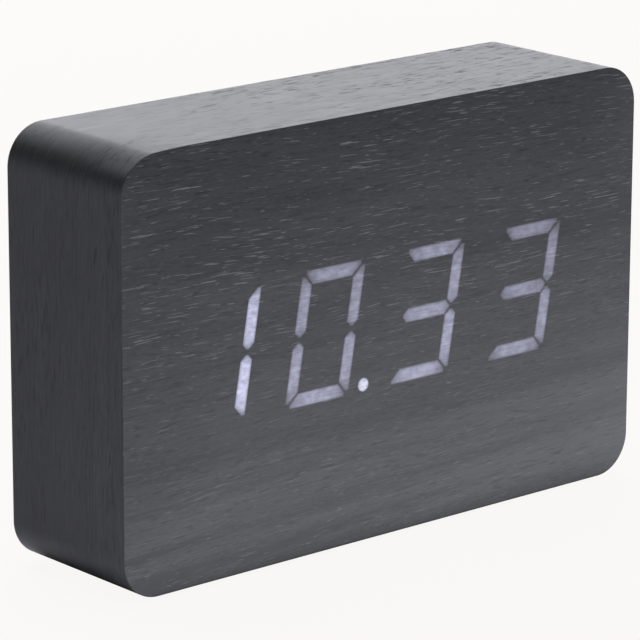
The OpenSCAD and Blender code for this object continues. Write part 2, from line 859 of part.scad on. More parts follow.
module button_cap(i) {
  rim_r = button_d / 2 + button_rim;
  cap_h = button_y1 - button_y0;
  color("#333338") facing_back(button_x(i), button_y0, button_z) {
    cylinder(r = rim_r, h = button_rim_t);
    cylinder(d = button_d, h = cap_h - button_edge);
    translate([0, 0, cap_h - button_edge])
      cylinder(r1 = button_d / 2, r2 = button_d / 2 - button_edge, h = button_edge);
    translate([0, 0, cap_h - fuse]) linear_extrude(height = mark_h + fuse) button_mark(i);
  }
}

module slide_switch_body() {
  color("#8e9094") facing_back(slide_x, y_main1, slide_z) difference() {
    translate([-slide_w / 2, -slide_h / 2, 0]) cube([slide_w, slide_h, slide_d]);
    translate([-slide_slot_w / 2, -lever_w / 2 - loose, slide_floor])
      cube([slide_slot_w, lever_w + 2 * loose, slide_d]);
  }
}

module slide_switch_lever() {
  foot_y = y_main1 + slide_floor + loose;
  x = slide_x + lever_rest;
  color("#d8d8da") {
    block(x - lever_foot_w / 2, x + lever_foot_w / 2, foot_y, foot_y + lever_foot_d,
      slide_z - lever_w / 2, slide_z + lever_w / 2);
    block(x - lever_w / 2, x + lever_w / 2, foot_y, y_panel1 + lever_proud,
      slide_z - lever_w / 2, slide_z + lever_w / 2);
  }
}

// Outline of the power socket: wider on top, with both lower corners cut
module socket_outline(w, h, cut) {
  polygon([[-w / 2, h / 2], [w / 2, h / 2], [w / 2, cut - h / 2], [w / 2 - cut, -h / 2],
    [cut - w / 2, -h / 2], [-w / 2, cut - h / 2]]);
}

module power_socket_shell() {
  inner_cut = usb_chamfer - usb_wall * (2 - sqrt(2));
  color("silver") slab(y_main1, y_panel1 - usb_in) translate([usb_x, usb_z]) difference() {
    socket_outline(usb_w, usb_h, usb_chamfer);
    socket_outline(usb_w - 2 * usb_wall, usb_h - 2 * usb_wall, inner_cut);
  }
}

module power_socket_tongue() {
  inset = usb_wall + snug;
  base_y1 = y_main1 + usb_base_h;
  tongue_y1 = y_panel1 - 2 * usb_in;
  color("#161618") {
    slab(y_main1, base_y1) translate([usb_x, usb_z])
      socket_outline(usb_w - 2 * inset, usb_h - 2 * inset, usb_chamfer - inset * (2 - sqrt(2)));
    slab(base_y1 - fuse, tongue_y1) translate([usb_x, usb_z + usb_tongue_t / 2])
      square([usb_tongue_w, usb_tongue_t], center = true);
  }
}

// The bay's tub, the latch pocket and the bosses, before anything is cut out
module panel_solid() {
  slab(y_panel0, y_panel1) on_case() round_rect(panel_w, panel_h, panel_r);
  block(bay_x0 - bay_wall, bay_x1 + bay_wall, y_bay0, y_panel0 + fuse, bay_z0 - bay_wall, bay_z1 + bay_wall);
  block(bay_x - latch_half_w - latch_wall, bay_x + latch_half_w + latch_wall,
    tab_y0 - latch_gap - latch_wall, y_panel0 + fuse, bay_z1, latch_z1 + latch_wall);
  for (p = corners(main_screw_x, main_screw_z))
    rod_y(main_x + p[0], mid_z + p[1], boss_d / 2, y_main1, y_panel0 + fuse);
}

// The space for the cells, the door's opening and its peg holes, and the latch pocket
module bay_cuts() {
  past = y_panel1 + 1;
  knuckle_y0 = axis_y - knuckle_r - knuckle_gap;
  block(bay_x0, bay_x1, y_bay1, past, bay_z0, bay_z1);
  block(open_x0, open_x1, y_door0 - door_rest_gap, past, open_z0, open_z1);
  block(open_x0, open_x1, knuckle_y0, past, open_z0, axis_z + knuckle_r + knuckle_gap);
  rod_x(axis_y, axis_z, peg_r + door_gap, open_x0 - peg_l - door_gap, open_x1 + peg_l + door_gap);
  block(bay_x - latch_half_w, bay_x + latch_half_w, tab_y0 - latch_gap, y_panel0, bay_z1 - fuse, latch_z1);
  block(bay_x - latch_half_w, bay_x + latch_half_w, y_panel0 - fuse, past, bay_z1 - fuse, lip_z);
  rod_x(y_panel1 + scoop_r - scoop_depth, lip_z, scoop_r, bay_x - latch_half_w, bay_x + latch_half_w);
  for (i = [0, cell_count - 1])
    block(bay_x1 - plate_t - loose, bay_x1 + fuse, y_bay0 - fuse, y_bay1 + fuse,
      cell_z(i) - tag_w / 2 - loose, cell_z(i) + tag_w / 2 + loose);
}

// Holes for the controls, the sound and the screws
module control_cuts() {
  past = y_panel1 + 1;
  slot_y0 = y_panel0 - 1;
  dish_y = y_panel1 - dish_depth;
  for (i = [0:2]) {
    rod_y(button_x(i), button_z, button_d / 2 + button_gap, slot_y0, past);
    rod_y(button_x(i), button_z, button_dish_r, dish_y, past);
  }
  slab(slot_y0, past) translate([slide_x, slide_z]) square([panel_slot_w, panel_slot_h], center = true);
  slab(dish_y, past) translate([slide_x, slide_z]) round_rect(slide_dish_w, slide_dish_h, dish_corner_r);
  slab(slot_y0, past) translate([usb_x, usb_z])
    socket_outline(usb_w + 2 * usb_cut_gap, usb_h + 2 * usb_cut_gap, usb_chamfer);
  slab(dish_y, past) translate([usb_x, usb_z]) round_rect(usb_dish_w, usb_dish_h, dish_corner_r);
  rod_y(mic_x, mic_z, mic_hole_d / 2, slot_y0, past);
  rod_y(buzzer_x, buzzer_z, sound_hole_d / 2, slot_y0, past);
  for (turn = [0:60:300])
    rod_y(buzzer_x + sound_ring_r * cos(turn), buzzer_z + sound_ring_r * sin(turn), sound_hole_d / 2,
      slot_y0, past);
  for (p = corners(post_x, post_z)) {
    rod_y(p[0], mid_z + p[1], panel_screw_d / 2 + loose, slot_y0, past);
    rod_y(p[0], mid_z + p[1], panel_screw_head_d / 2 + loose, y_panel1 - screw_recess, past);
  }
  for (p = corners(main_screw_x, main_screw_z))
    rod_y(main_x + p[0], mid_z + p[1], main_screw_d / 2 + snug, y_main1 - fuse,
      y_main1 + main_screw_l + loose);
}

// Two scalloped ribs that hold the cells
module cell_cradles() {
  difference() {
    for (s = [-1, 1])
      block(bay_x + s * cradle_x - cradle_t / 2, bay_x + s * cradle_x + cradle_t / 2, y_bay1 - fuse,
        cell_y - cell_d / 6, bay_z0 - fuse, bay_z1 + fuse);
    for (i = [0:cell_count - 1]) rod_x(cell_y, cell_z(i), cell_d / 2 + cradle_gap, bay_x0, bay_x1);
  }
}

module rear_panel() {
  color("#232326") {
    difference() {
      panel_solid();
      bay_cuts();
      control_cuts();
    }
    cell_cradles();
  }
}

module panel_screws() {
  color("silver") for (p = corners(post_x, post_z))
    facing_back(p[0], y_panel1 - screw_recess, mid_z + p[1])
      screw(panel_screw_d, panel_screw_l, panel_screw_head_d, panel_screw_head_h);
}

module main_board_screws() {
  color("silver") for (p = corners(main_screw_x, main_screw_z))
    facing_front(main_x + p[0], y_main0, mid_z + p[1])
      screw(main_screw_d, main_screw_l + pcb_t, main_screw_head_d, main_screw_head_h);
}

// The latch tab in Y and Z: a leg in, a bend and a leg out with its nose
module tab_outline() {
  bend_y = tab_y0 + tab_ring_r;
  bend_z = door_z1 + tab_bend_r;
  translate([bend_y, door_z1 - tab_t]) square([y_door0 + fuse - bend_y, tab_t]);
  translate([bend_y, tab_top - tab_t]) square([tab_end_y - bend_y, tab_t]);
  translate([bend_y, bend_z]) intersection() {
    difference() {
      circle(r = tab_ring_r);
      circle(r = tab_bend_r);
    }
    translate([-tab_ring_r, -tab_ring_r]) square([tab_ring_r, 2 * tab_ring_r]);
  }
  polygon([[nose_y - nose_l / 2, tab_top - fuse], [nose_y + nose_l / 2, tab_top - fuse],
    [nose_y + nose_l / 2, tab_top], [nose_y, tab_top + nose_h], [nose_y - nose_l / 2, tab_top + nose_h],
    [nose_y - nose_l / 2, tab_top]]);
}

module battery_door() {
  color("#232326") {
    block(door_x0, door_x1, y_door0, y_panel1, axis_z, door_z1);
    rod_x(axis_y, axis_z, knuckle_r, door_x0, door_x1);
    rod_x(axis_y, axis_z, peg_r, door_x0 - peg_l, door_x1 + peg_l);
    for (i = [0:cell_count - 2])
      block(bay_x0 + spring_l, bay_x1 - spring_l, y_door0 - door_rib_h, y_door0 + fuse,
        cell_z(i) - cell_pitch / 2 - door_rib_t / 2, cell_z(i) - cell_pitch / 2 + door_rib_t / 2);
    slab_x(bay_x - tab_w / 2, bay_x + tab_w / 2) tab_outline();
    for (i = [0:grip_count - 1])
      block(bay_x - grip_l / 2, bay_x + grip_l / 2, y_panel1 - fuse, y_panel1 + grip_h,
        door_z1 - (i + 1) * grip_pitch - grip_w, door_z1 - (i + 1) * grip_pitch);
  }
}

// A contact plate at one end of the bay, over the cells from a to b
module contact_plate(side, a, b) {
  wall = side > 0 ? bay_x1 : bay_x0;
  face = wall - side * plate_t;
  block(min(wall, face), max(wall, face), plate_y - plate_h / 2, plate_y + plate_h / 2,
    cell_z(b) - plate_h / 2, cell_z(a) + plate_h / 2);
  for (i = [a:b]) if (cell_side(i) == side)
    translate([face + side * fuse, cell_y, cell_z(i)]) rotate([0, -side * 90, 0])
      cylinder(d1 = nub_d + 1, d2 = nub_d, h = dimple_h + fuse);
  if (a == b)
    block(min(wall, face), max(wall, face), y_bay0 - tag_below, plate_y, cell_z(a) - tag_w / 2,
      cell_z(a) + tag_w / 2);
}

module contact_plates() {
  color("silver") {
    contact_plate(1, 0, 0);
    contact_plate(1, 1, 2);
    contact_plate(1, 3, 3);
    contact_plate(-1, 0, 1);
    contact_plate(-1, 2, 3);
  }
}

// One conical coil along X, its wide end at zero
module coil() {
  points = [for (k = [0:spring_steps]) each coil_ring(k)];
  last = spring_steps * spring_sides;
  sides = [for (k = [0:spring_steps - 1]) for (j = [0:spring_sides - 1])
    let (a = k * spring_sides, n = (j + 1) % spring_sides)
    [a + j, a + spring_sides + j, a + spring_sides + n, a + n]];
  first_cap = [for (j = [0:spring_sides - 1]) j];
  last_cap = [for (j = [spring_sides - 1:-1:0]) last + j];
  polyhedron(points, concat(sides, [first_cap, last_cap]));
}

module contact_springs() {
  color("gainsboro") for (i = [0:cell_count - 1])
    translate([cell_side(i) > 0 ? bay_x0 + plate_t : bay_x1 - plate_t, cell_y, cell_z(i)])
      rotate([0, 0, cell_side(i) > 0 ? 0 : 180]) coil();
}

module cell(i) {
  tip = bay_w / 2 - plate_t - dimple_h - touch;
  body_l = cell_l - nub_l;
  edge = 0.5;
  color(i % 2 == 0 ? "#4d7fae" : "#5a8ab8") translate([bay_x, cell_y, cell_z(i)])
    rotate([0, cell_side(i) * 90, 0]) translate([0, 0, tip - cell_l]) rotate_extrude()
      polygon([[0, 0], [cell_d / 2 - edge, 0], [cell_d / 2, edge], [cell_d / 2, body_l - edge],
        [cell_d / 2 - edge, body_l], [nub_d / 2, body_l], [nub_d / 2, cell_l], [0, cell_l]]);
}

// A lead from a contact plate's tag to the front of the main board
module lead(i) {
  end_x = main_x - main_w / 2 + lead_in;
  bend_x = end_x - lead_bend_r;
  bend_y = lead_y + lead_bend_r;
  rod_x(lead_y, cell_z(i), lead_d / 2, bay_x1, bend_x);
  translate([bend_x, bend_y, cell_z(i)]) rotate([0, 0, -90]) rotate_extrude(angle = 90)
    translate([lead_bend_r, 0]) circle(d = lead_d);
  rod_y(end_x, cell_z(i), lead_d / 2, bend_y, y_main0);
}

module red_lead() {
  color("firebrick") lead(0);
}

module black_lead() {
  color("#151515") lead(cell_count - 1);
}

front_veneer();
edge_veneer();
rear_veneer();
front_board();
frame_ring();
corner_posts();
rubber_feet();
diffuser_film();
segment_mask();
display_board();
segment_lamps();
display_driver_chip();
display_header();
display_screws();
display_cable();
main_header();
main_board();
controller_chip();
crystal_can();
smoothing_capacitor();
thermistor();
microphone();
buzzer();
push_switch_bases();
switch_stem(0);  // set_switch_stem
switch_stem(1);  // up_switch_stem
switch_stem(2);  // down_switch_stem
button_cap(0);  // set_button
button_cap(1);  // up_button
button_cap(2);  // down_button
slide_switch_body();
slide_switch_lever();
power_socket_shell();
power_socket_tongue();
rear_panel();
panel_screws();
main_board_screws();
battery_door();
contact_plates();
contact_springs();
cell(0);  // cell_1
cell(1);  // cell_2
cell(2);  // cell_3
cell(3);  // cell_4
red_lead();
black_lead();
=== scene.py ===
# Looks of a digital alarm clock: a block in black-stained, open-pored veneer that digits shine through
import json
import math

import bmesh
import bpy
from mathutils import Matrix, Vector
from mathutils.geometry import delaunay_2d_cdt


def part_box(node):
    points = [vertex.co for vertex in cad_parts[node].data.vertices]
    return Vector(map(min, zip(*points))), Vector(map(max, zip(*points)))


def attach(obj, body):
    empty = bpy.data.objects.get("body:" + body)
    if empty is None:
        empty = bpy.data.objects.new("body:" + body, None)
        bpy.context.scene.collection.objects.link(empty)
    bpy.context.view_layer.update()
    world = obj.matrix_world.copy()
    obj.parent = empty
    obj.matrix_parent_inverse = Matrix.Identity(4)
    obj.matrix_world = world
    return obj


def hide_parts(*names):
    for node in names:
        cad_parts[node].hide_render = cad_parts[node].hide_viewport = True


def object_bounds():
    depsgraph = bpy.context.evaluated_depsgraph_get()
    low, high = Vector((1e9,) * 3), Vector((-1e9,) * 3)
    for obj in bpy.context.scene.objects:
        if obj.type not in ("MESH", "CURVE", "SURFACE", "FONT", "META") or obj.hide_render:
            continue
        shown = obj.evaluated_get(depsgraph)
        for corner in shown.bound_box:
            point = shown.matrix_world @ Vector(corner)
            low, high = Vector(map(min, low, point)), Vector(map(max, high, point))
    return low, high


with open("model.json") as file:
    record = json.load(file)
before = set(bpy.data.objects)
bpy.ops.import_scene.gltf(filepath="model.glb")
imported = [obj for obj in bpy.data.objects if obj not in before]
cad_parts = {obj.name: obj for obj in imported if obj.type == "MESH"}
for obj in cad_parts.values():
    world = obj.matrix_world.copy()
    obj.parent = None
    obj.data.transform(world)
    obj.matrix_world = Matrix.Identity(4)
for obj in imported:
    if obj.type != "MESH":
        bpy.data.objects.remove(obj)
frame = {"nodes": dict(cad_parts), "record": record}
cad_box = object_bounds()
nodes = frame["nodes"]
scene = bpy.context.scene
scene.view_settings.view_transform = "Standard"

MM = 0.001
MM_PER_M = 1000
SQRT2 = math.sqrt(2)


# Camera, solved from the block's edges in the photograph
CAMERA_AT = (-0.57605, -0.65986, 0.28715)
CAMERA_TURN = math.radians(40.949)
CAMERA_DROP = math.radians(15.351)
CAMERA_ROLL = math.radians(0.194)
FOCAL_PIXELS = 4021.1
IMAGE_PIXELS = 640
SENSOR = 36.0
NEAREST_SEEN = 0.05

lens = bpy.data.cameras.new("camera")
lens.sensor_width = SENSOR
lens.lens = FOCAL_PIXELS / IMAGE_PIXELS * SENSOR
lens.clip_start = NEAREST_SEEN
camera = bpy.data.objects.new("camera", lens)
camera.matrix_world = (
    Matrix.Translation(CAMERA_AT)
    @ Matrix.Rotation(-CAMERA_TURN, 4, "Z")
    @ Matrix.Rotation(math.pi / 2 - CAMERA_DROP, 4, "X")
    @ Matrix.Rotation(CAMERA_ROLL, 4, "Z")
)
scene.collection.objects.link(camera)
scene.camera = camera


# Shader helpers: a noise's detail, from soft to fine, and the span that most of its values lie in
SOFT = 1.0
SMOOTH = 2.0
FINE = 3.0
NOISE_SPAN = (0.3, 0.7)

# The turn after the stretch keeps a noise's own rows and columns from lining up with the grain
OBLIQUE = (0.7, 0.5, 0.9)
BUMP_STRENGTH = 0.6
BEVEL_SAMPLES = 4

# Cosine between the rounded and the plain normal where a worn rim starts, and where it is full
RIM_SPAN = (0.985, 0.75)


# A new material with its node tree and its main shader
def start_material(name):
    made = bpy.data.materials.new(name)
    made.use_nodes = True
    return made, made.node_tree, made.node_tree.nodes["Principled BSDF"]


# Gives a socket a link or a plain value
def feed(tree, socket, value):
    if isinstance(value, bpy.types.NodeSocket):
        tree.links.new(value, socket)
    else:
        socket.default_value = value


# A new node with its inputs and settings
def add(tree, kind, inputs=None, **settings):
    made = tree.nodes.new(kind)
    for key, value in settings.items():
        setattr(made, key, value)
    for key, value in (inputs or {}).items():
        feed(tree, made.inputs[key], value)
    return made


def noise(tree, vector, scale, detail):
    inputs = {"Vector": vector, "Scale": scale, "Detail": detail}
    return add(tree, "ShaderNodeTexNoise", inputs).outputs[0]


# A noise stretched into streaks, by a scale along each axis in cycles per metre
def streaks(tree, vector, scale, detail=FINE):
    inputs = {"Vector": vector, "Scale": scale, "Rotation": OBLIQUE}
    return noise(tree, add(tree, "ShaderNodeMapping", inputs).outputs[0], 1.0, detail)


# A value carried from one span to another and kept inside it
def ramp(tree, value, low, high, out_low=0.0, out_high=1.0):
    inputs = {"Value": value, "From Min": low, "From Max": high, "To Min": out_low, "To Max": out_high}
    return add(tree, "ShaderNodeMapRange", inputs).outputs[0]


def calc(tree, operation, first, second=0.0):
    return add(tree, "ShaderNodeMath", {0: first, 1: second}, operation=operation).outputs[0]


def times(tree, first, second):
    return calc(tree, "MULTIPLY", first, second)


def plus(tree, first, second):
    return calc(tree, "ADD", first, second)


def vector_calc(tree, operation, first, second, output=0):
    return add(tree, "ShaderNodeVectorMath", {0: first, 1: second}, operation=operation).outputs[output]


# One axis of a vector
def axis(tree, vector, name):
    return add(tree, "ShaderNodeSeparateXYZ", {0: vector}).outputs[name]


# A vector with some of its axes given and the rest at zero
def joined(tree, **axes):
    return add(tree, "ShaderNodeCombineXYZ", axes).outputs[0]


def mixed(tree, share, first, second):
    return add(tree, "ShaderNodeMix", {0: share, 6: first, 7: second}, data_type="RGBA").outputs[2]


# A colour made darker or paler, with full alpha
def shade(colour, level=1.0):
    return tuple(min(1.0, channel * level) for channel in colour) + (1.0,)


# A colour that wanders between two as a noise does
def clouded(tree, value, first, second):
    return mixed(tree, ramp(tree, value, *NOISE_SPAN), first, second)


# A point's place on its piece, in metres
def cad_place(tree):
    return add(tree, "ShaderNodeTexCoord").outputs["Object"]


# Fine relief from a height, to a depth in millimetres
def set_bump(tree, shader, height, depth, normal=None):
    inputs = {"Height": height, "Strength": BUMP_STRENGTH, "Distance": depth * MM}
    if normal is not None:
        inputs["Normal"] = normal
    feed(tree, shader.inputs["Normal"], add(tree, "ShaderNodeBump", inputs).outputs[0])


# A skin drawn by one noise: its roughness, its relief and its colour between a dark and a pale one
def skinned(tree, shader, value, dark, pale, rough, depth):
    feed(tree, shader.inputs["Roughness"], ramp(tree, value, *NOISE_SPAN, *rough))
    set_bump(tree, shader, value, depth)
    return clouded(tree, value, dark, pale)


# A normal that rounds a solid's edges, to a radius in millimetres
def rounded_normal(tree, radius):
    return add(tree, "ShaderNodeBevel", {"Radius": radius * MM}, samples=BEVEL_SAMPLES).outputs[0]


# How near each point is to an edge, from how far the rounded normal leaves the plain one
def edge_rim(tree, rounded):
    plain = add(tree, "ShaderNodeNewGeometry").outputs["Normal"]
    return ramp(tree, vector_calc(tree, "DOT_PRODUCT", rounded, plain, "Value"), *RIM_SPAN)


# Veneer: its noises, in cycles per metre along the grain, across it and through the sheet
SWAY_SCALE = (18, 40, 1)
BAND_SCALE = (11, 90, 1)
WAVE_SCALE = (8, 210, 1)
FIBRE_SCALE = (90, 2200, 1)
SPECKLE_SCALE = (750, 2600, 1)
PATCH_SCALE = (28, 150, 1)
GROUP_SCALE = (16, 45, 1)
MOTTLE_SCALE = (500, 700, 1)

# Pores: length and thickness in millimetres, and the noise's levels at a pore's rim and in its middle
LONG_PORES = (8.0, 0.36, 0.63, 0.672)
SHORT_PORES = (4.2, 0.32, 0.66, 0.71)
# Dark pores are painted shade: near-black dashes where the pores would lie in shadow
PAINTED_SHADE_PORES = (4.5, 0.5, 0.56, 0.68)
# Dull pores are rough and also painted darker, as painted shade for the sheen they lack
DULL_PAINTED_SHADE_PORES = (4.6, 0.8, 0.58, 0.645)

# A step in metres that gives the pores painted with shade, the dark and the dull ones, a noise of their own
OTHER_GRAIN = (0.5, 0.5, 0.0)

# Ramps over the noises above, each as a span and the values at its ends
SWAY_RAMP = (0.2, 0.8, -0.001, 0.001)
PATCH_RAMP = (0.42, 0.64, 0.08, 1.0)
GROUP_RAMP = (0.42, 0.6, 0.25, 0.85)

# Ramps over the metres across the grain, which on the front are the height above the ground
SLOPE_RAMP = (0.01, 0.09, -0.03, 0.035)
LONG_PORE_RAMP = (0.04, 0.075, 0.28, 1.0)
SHORT_PORE_RAMP = (0.03, 0.07, 0.38, 0.8)
WAVE_SPAN = (0.015, 0.035)
HIGH_WAVES = 0.35

# Dull pores, rough and painted darker as painted shade for the sheen they lack: how level a face is to count
# as the top, their gain along X on it, and their strength elsewhere
LEVEL_SPAN = (0.9, 0.99)
TOP_DULL_AND_PAINTED_SHADE_RAMP = (-0.06, 0.05, -0.25, 0.6)
DULL_AND_PAINTED_SHADE_STRENGTH = 0.6

# The stain: greys of the wood and of pale pores, the near-black grey painted into the dark and dull pores as
# painted shade, and how much each kind of pore shows
WOOD_TINT = (0.98, 1.0, 1.06)
STAIN_DARK = 0.041
STAIN_PALE = 0.072
PALE_PORE_GREY = 0.22
PAINTED_PORE_SHADE_GREY = 0.03
PAINTED_SHADE_PORE_SHARE = 0.7
DULL_PORE_PAINTED_SHADE_SHARE = 0.3
BAND_SHARE = 0.6
WAVE_MIDDLE = 0.5
TONE_SPAN = (0.6, 1.0)

# The surface: satin between the pores and dull in them
SATIN_ROUGH = (0.36, 0.46)
HOLLOW_ROUGH = 0.4
VENEER_IOR = 1.3
FIBRE_RELIEF = 0.3
PORE_DEPTH = 0.04

# What sets the two veneers apart: shares of pores, fibre and low waves, and the wood's level, which on the
# band and back is set darker than on the front as painted shade for the shaded sides
PLAIN_VENEER = {"pale_pores": 0.55, "dull_pores_with_painted_shade": 1.0, "fibre": 0.9, "low_waves": 0.35, "stain_and_painted_shade": 0.93}
LIT_VENEER = {"pale_pores": 1.0, "dull_pores_with_painted_shade": 0.0, "fibre": 0.5, "low_waves": 1.4, "stain_and_painted_shade": 1.0}

# Light through the veneer: how the mottle and the fibres break it, and its colour in the bars and in the dot
MOTTLE_LIGHT = (0.72, 1.24)
FIBRE_LIGHT = (0.86, 1.08)
BAR_LIGHT = (0.55, 0.555, 0.77)
DOT_LIGHT = (0.545, 0.555, 0.636)
DOT_SPAN = (1.0, 1.1)


def wood_grey(level):
    return shade(WOOD_TINT, level)


# Dashes along the grain: the peaks of a noise stretched to a length and a thickness in millimetres
def dashes(tree, grain, length, thickness, low, high):
    peaks = streaks(tree, grain, (MM_PER_M / length, MM_PER_M / thickness, 1), SMOOTH)
    return ramp(tree, peaks, low, high)


# The grain fanned out a little along the sheet, with a slow sway
def bent_grain(tree, flow, across):
    slope = ramp(tree, across, *SLOPE_RAMP)
    sway = ramp(tree, streaks(tree, flow, SWAY_SCALE, SMOOTH), *SWAY_RAMP)
    bend = plus(tree, times(tree, axis(tree, flow, "X"), slope), sway)
    return vector_calc(tree, "ADD", flow, joined(tree, Y=bend))


# Pale pores: long ones in patches and short ones spread out, more of both further across the grain
def pale_pores(tree, grain, across, share):
    patches = ramp(tree, streaks(tree, grain, PATCH_SCALE, SMOOTH), *PATCH_RAMP)
    long_pores = times(tree, dashes(tree, grain, *LONG_PORES), patches)
    long_pores = times(tree, long_pores, ramp(tree, across, *LONG_PORE_RAMP))
    short_pores = times(tree, dashes(tree, grain, *SHORT_PORES), ramp(tree, across, *SHORT_PORE_RAMP))
    return times(tree, calc(tree, "MAXIMUM", long_pores, short_pores), share)


# Dull pores in groups, rough and painted darker as painted shade for the missing sheen, strongest towards the
# right end of the top
def dull_pores_with_painted_shade(tree, grain, share):
    groups = ramp(tree, streaks(tree, grain, GROUP_SCALE, SMOOTH), *GROUP_RAMP)
    grouped = times(tree, dashes(tree, grain, *DULL_PAINTED_SHADE_PORES), groups)
    facing = add(tree, "ShaderNodeNewGeometry").outputs["Normal"]
    level = ramp(tree, axis(tree, facing, "Z"), *LEVEL_SPAN)
    painted_on_top = times(tree, level, ramp(tree, axis(tree, cad_place(tree), "X"), *TOP_DULL_AND_PAINTED_SHADE_RAMP))
    return times(tree, grouped, times(tree, plus(tree, painted_on_top, DULL_AND_PAINTED_SHADE_STRENGTH), share))


# The stain's tone: broad bands and waves with fine fibres and speckle over them
def stain_tone(tree, grain, across, fibre, kind):
    speckle = streaks(tree, grain, SPECKLE_SCALE)
    fine = plus(tree, times(tree, fibre, kind["fibre"]), times(tree, speckle, 1.0 - kind["fibre"]))
    waves = calc(tree, "SUBTRACT", streaks(tree, grain, WAVE_SCALE), WAVE_MIDDLE)
    waves = times(tree, waves, ramp(tree, across, *WAVE_SPAN, kind["low_waves"], HIGH_WAVES))
    broad = plus(tree, times(tree, streaks(tree, grain, BAND_SCALE), BAND_SHARE), waves)
    return ramp(tree, plus(tree, broad, fine), *TONE_SPAN)


# Light from the mesh attribute "glow", which is above the bars' level in the dot alone
def set_glow(tree, shader, flow, fibre):
    glow = add(tree, "ShaderNodeAttribute", attribute_name="glow").outputs["Fac"]
    mottle = ramp(tree, streaks(tree, flow, MOTTLE_SCALE), *NOISE_SPAN, *MOTTLE_LIGHT)
    veil = times(tree, ramp(tree, fibre, *NOISE_SPAN, *FIBRE_LIGHT), mottle)
    light = mixed(tree, ramp(tree, glow, *DOT_SPAN), shade(BAR_LIGHT), shade(DOT_LIGHT))
    feed(tree, shader.inputs["Emission Color"], light)
    feed(tree, shader.inputs["Emission Strength"], times(tree, glow, veil))


# Veneer whose grain follows the mesh attribute "grain": X along the grain and Y across it, in metres
def veneer_material(name, kind, lit=False):
    made, tree, shader = start_material(name)
    flow = add(tree, "ShaderNodeAttribute", attribute_name="grain").outputs["Vector"]
    across = axis(tree, flow, "Y")
    grain = bent_grain(tree, flow, across)
    other_grain = vector_calc(tree, "ADD", grain, OTHER_GRAIN)
    fibre = streaks(tree, grain, FIBRE_SCALE)
    pale = pale_pores(tree, grain, across, kind["pale_pores"])
    # Dull pores: rough, and painted darker mostly on the top face as painted shade
    dull = dull_pores_with_painted_shade(tree, other_grain, kind["dull_pores_with_painted_shade"])
    # Dark pores: dashes of painted shade
    dark = dashes(tree, other_grain, *PAINTED_SHADE_PORES)
    tone = stain_tone(tree, grain, across, fibre, kind)
    # The plain veneer's lower level darkens the band and back as painted shade
    wood = mixed(tree, tone, wood_grey(STAIN_DARK * kind["stain_and_painted_shade"]), wood_grey(STAIN_PALE * kind["stain_and_painted_shade"]))
    # Painted shade in the pores: the dark pores and, less, the dull ones are painted towards a near-black
    # grey
    painted_pore_shade = calc(tree, "MAXIMUM", times(tree, dark, PAINTED_SHADE_PORE_SHARE), times(tree, dull, DULL_PORE_PAINTED_SHADE_SHARE))
    shaded = mixed(tree, painted_pore_shade, wood, wood_grey(PAINTED_PORE_SHADE_GREY))
    feed(tree, shader.inputs["Base Color"], mixed(tree, pale, shaded, wood_grey(PALE_PORE_GREY)))
    satin = ramp(tree, fibre, *NOISE_SPAN, *SATIN_ROUGH)
    hollow = plus(tree, pale, dull)
    feed(tree, shader.inputs["Roughness"], plus(tree, satin, times(tree, hollow, HOLLOW_ROUGH)))
    shader.inputs["IOR"].default_value = VENEER_IOR
    relief = calc(tree, "SUBTRACT", times(tree, fibre, FIBRE_RELIEF), hollow)
    set_bump(tree, shader, relief, PORE_DEPTH)
    if lit:
        set_glow(tree, shader, flow, fibre)
    return made


# Moulded plastic or rubber: a clouded colour, a fine skin, softened edges and wear on them
SCUFF_SCALE = 650.0
SCUFF_SPAN = (0.4, 0.62)
CLOUD_SCALE = 80.0
CLOUD_DARK = 0.85
CLOUD_PALE = 1.15
SKIN_SPAN = (0.4, 1.4)


def moulded(name, colour, worn_colour, rough, skin_scale, skin_depth, edge):
    made, tree, shader = start_material(name)
    at = cad_place(tree)
    rounded = rounded_normal(tree, edge)
    scuffs = ramp(tree, noise(tree, at, SCUFF_SCALE, FINE), *SCUFF_SPAN)
    worn = times(tree, edge_rim(tree, rounded), scuffs)
    cloud = ramp(tree, noise(tree, at, CLOUD_SCALE, FINE), *NOISE_SPAN)
    body = mixed(tree, cloud, shade(colour, CLOUD_DARK), shade(colour, CLOUD_PALE))
    feed(tree, shader.inputs["Base Color"], mixed(tree, worn, body, shade(worn_colour)))
    skin = noise(tree, at, skin_scale, SMOOTH)
    feed(tree, shader.inputs["Roughness"], ramp(tree, plus(tree, skin, cloud), *SKIN_SPAN, *rough))
    set_bump(tree, shader, skin, skin_depth, rounded)
    return made


# Plated or drawn metal: fine streaks along one axis, dull patches and softened edges
METAL_EDGE = 0.1
METAL_RELIEF = 0.01
STREAK_DARK = 0.86
STREAK_BRIGHT = 1.06
TARNISH_SCALE = 220.0
TARNISH_SPAN = (0.45, 0.7)
TARNISH_SHARE = 0.5
TARNISH_DARK = 0.7
METAL_SPAN = (0.3, 1.6)


def metal(name, colour, rough, scale):
    made, tree, shader = start_material(name)
    at = cad_place(tree)
    lines = streaks(tree, at, scale)
    dull = ramp(tree, noise(tree, at, TARNISH_SCALE, FINE), *TARNISH_SPAN)
    bright = clouded(tree, lines, shade(colour, STREAK_DARK), shade(colour, STREAK_BRIGHT))
    tarnished = mixed(tree, times(tree, dull, TARNISH_SHARE), bright, shade(colour, TARNISH_DARK))
    feed(tree, shader.inputs["Base Color"], tarnished)
    feed(tree, shader.inputs["Roughness"], ramp(tree, plus(tree, lines, dull), *METAL_SPAN, *rough))
    shader.inputs["Metallic"].default_value = 1.0
    set_bump(tree, shader, lines, METAL_RELIEF, rounded_normal(tree, METAL_EDGE))
    return made


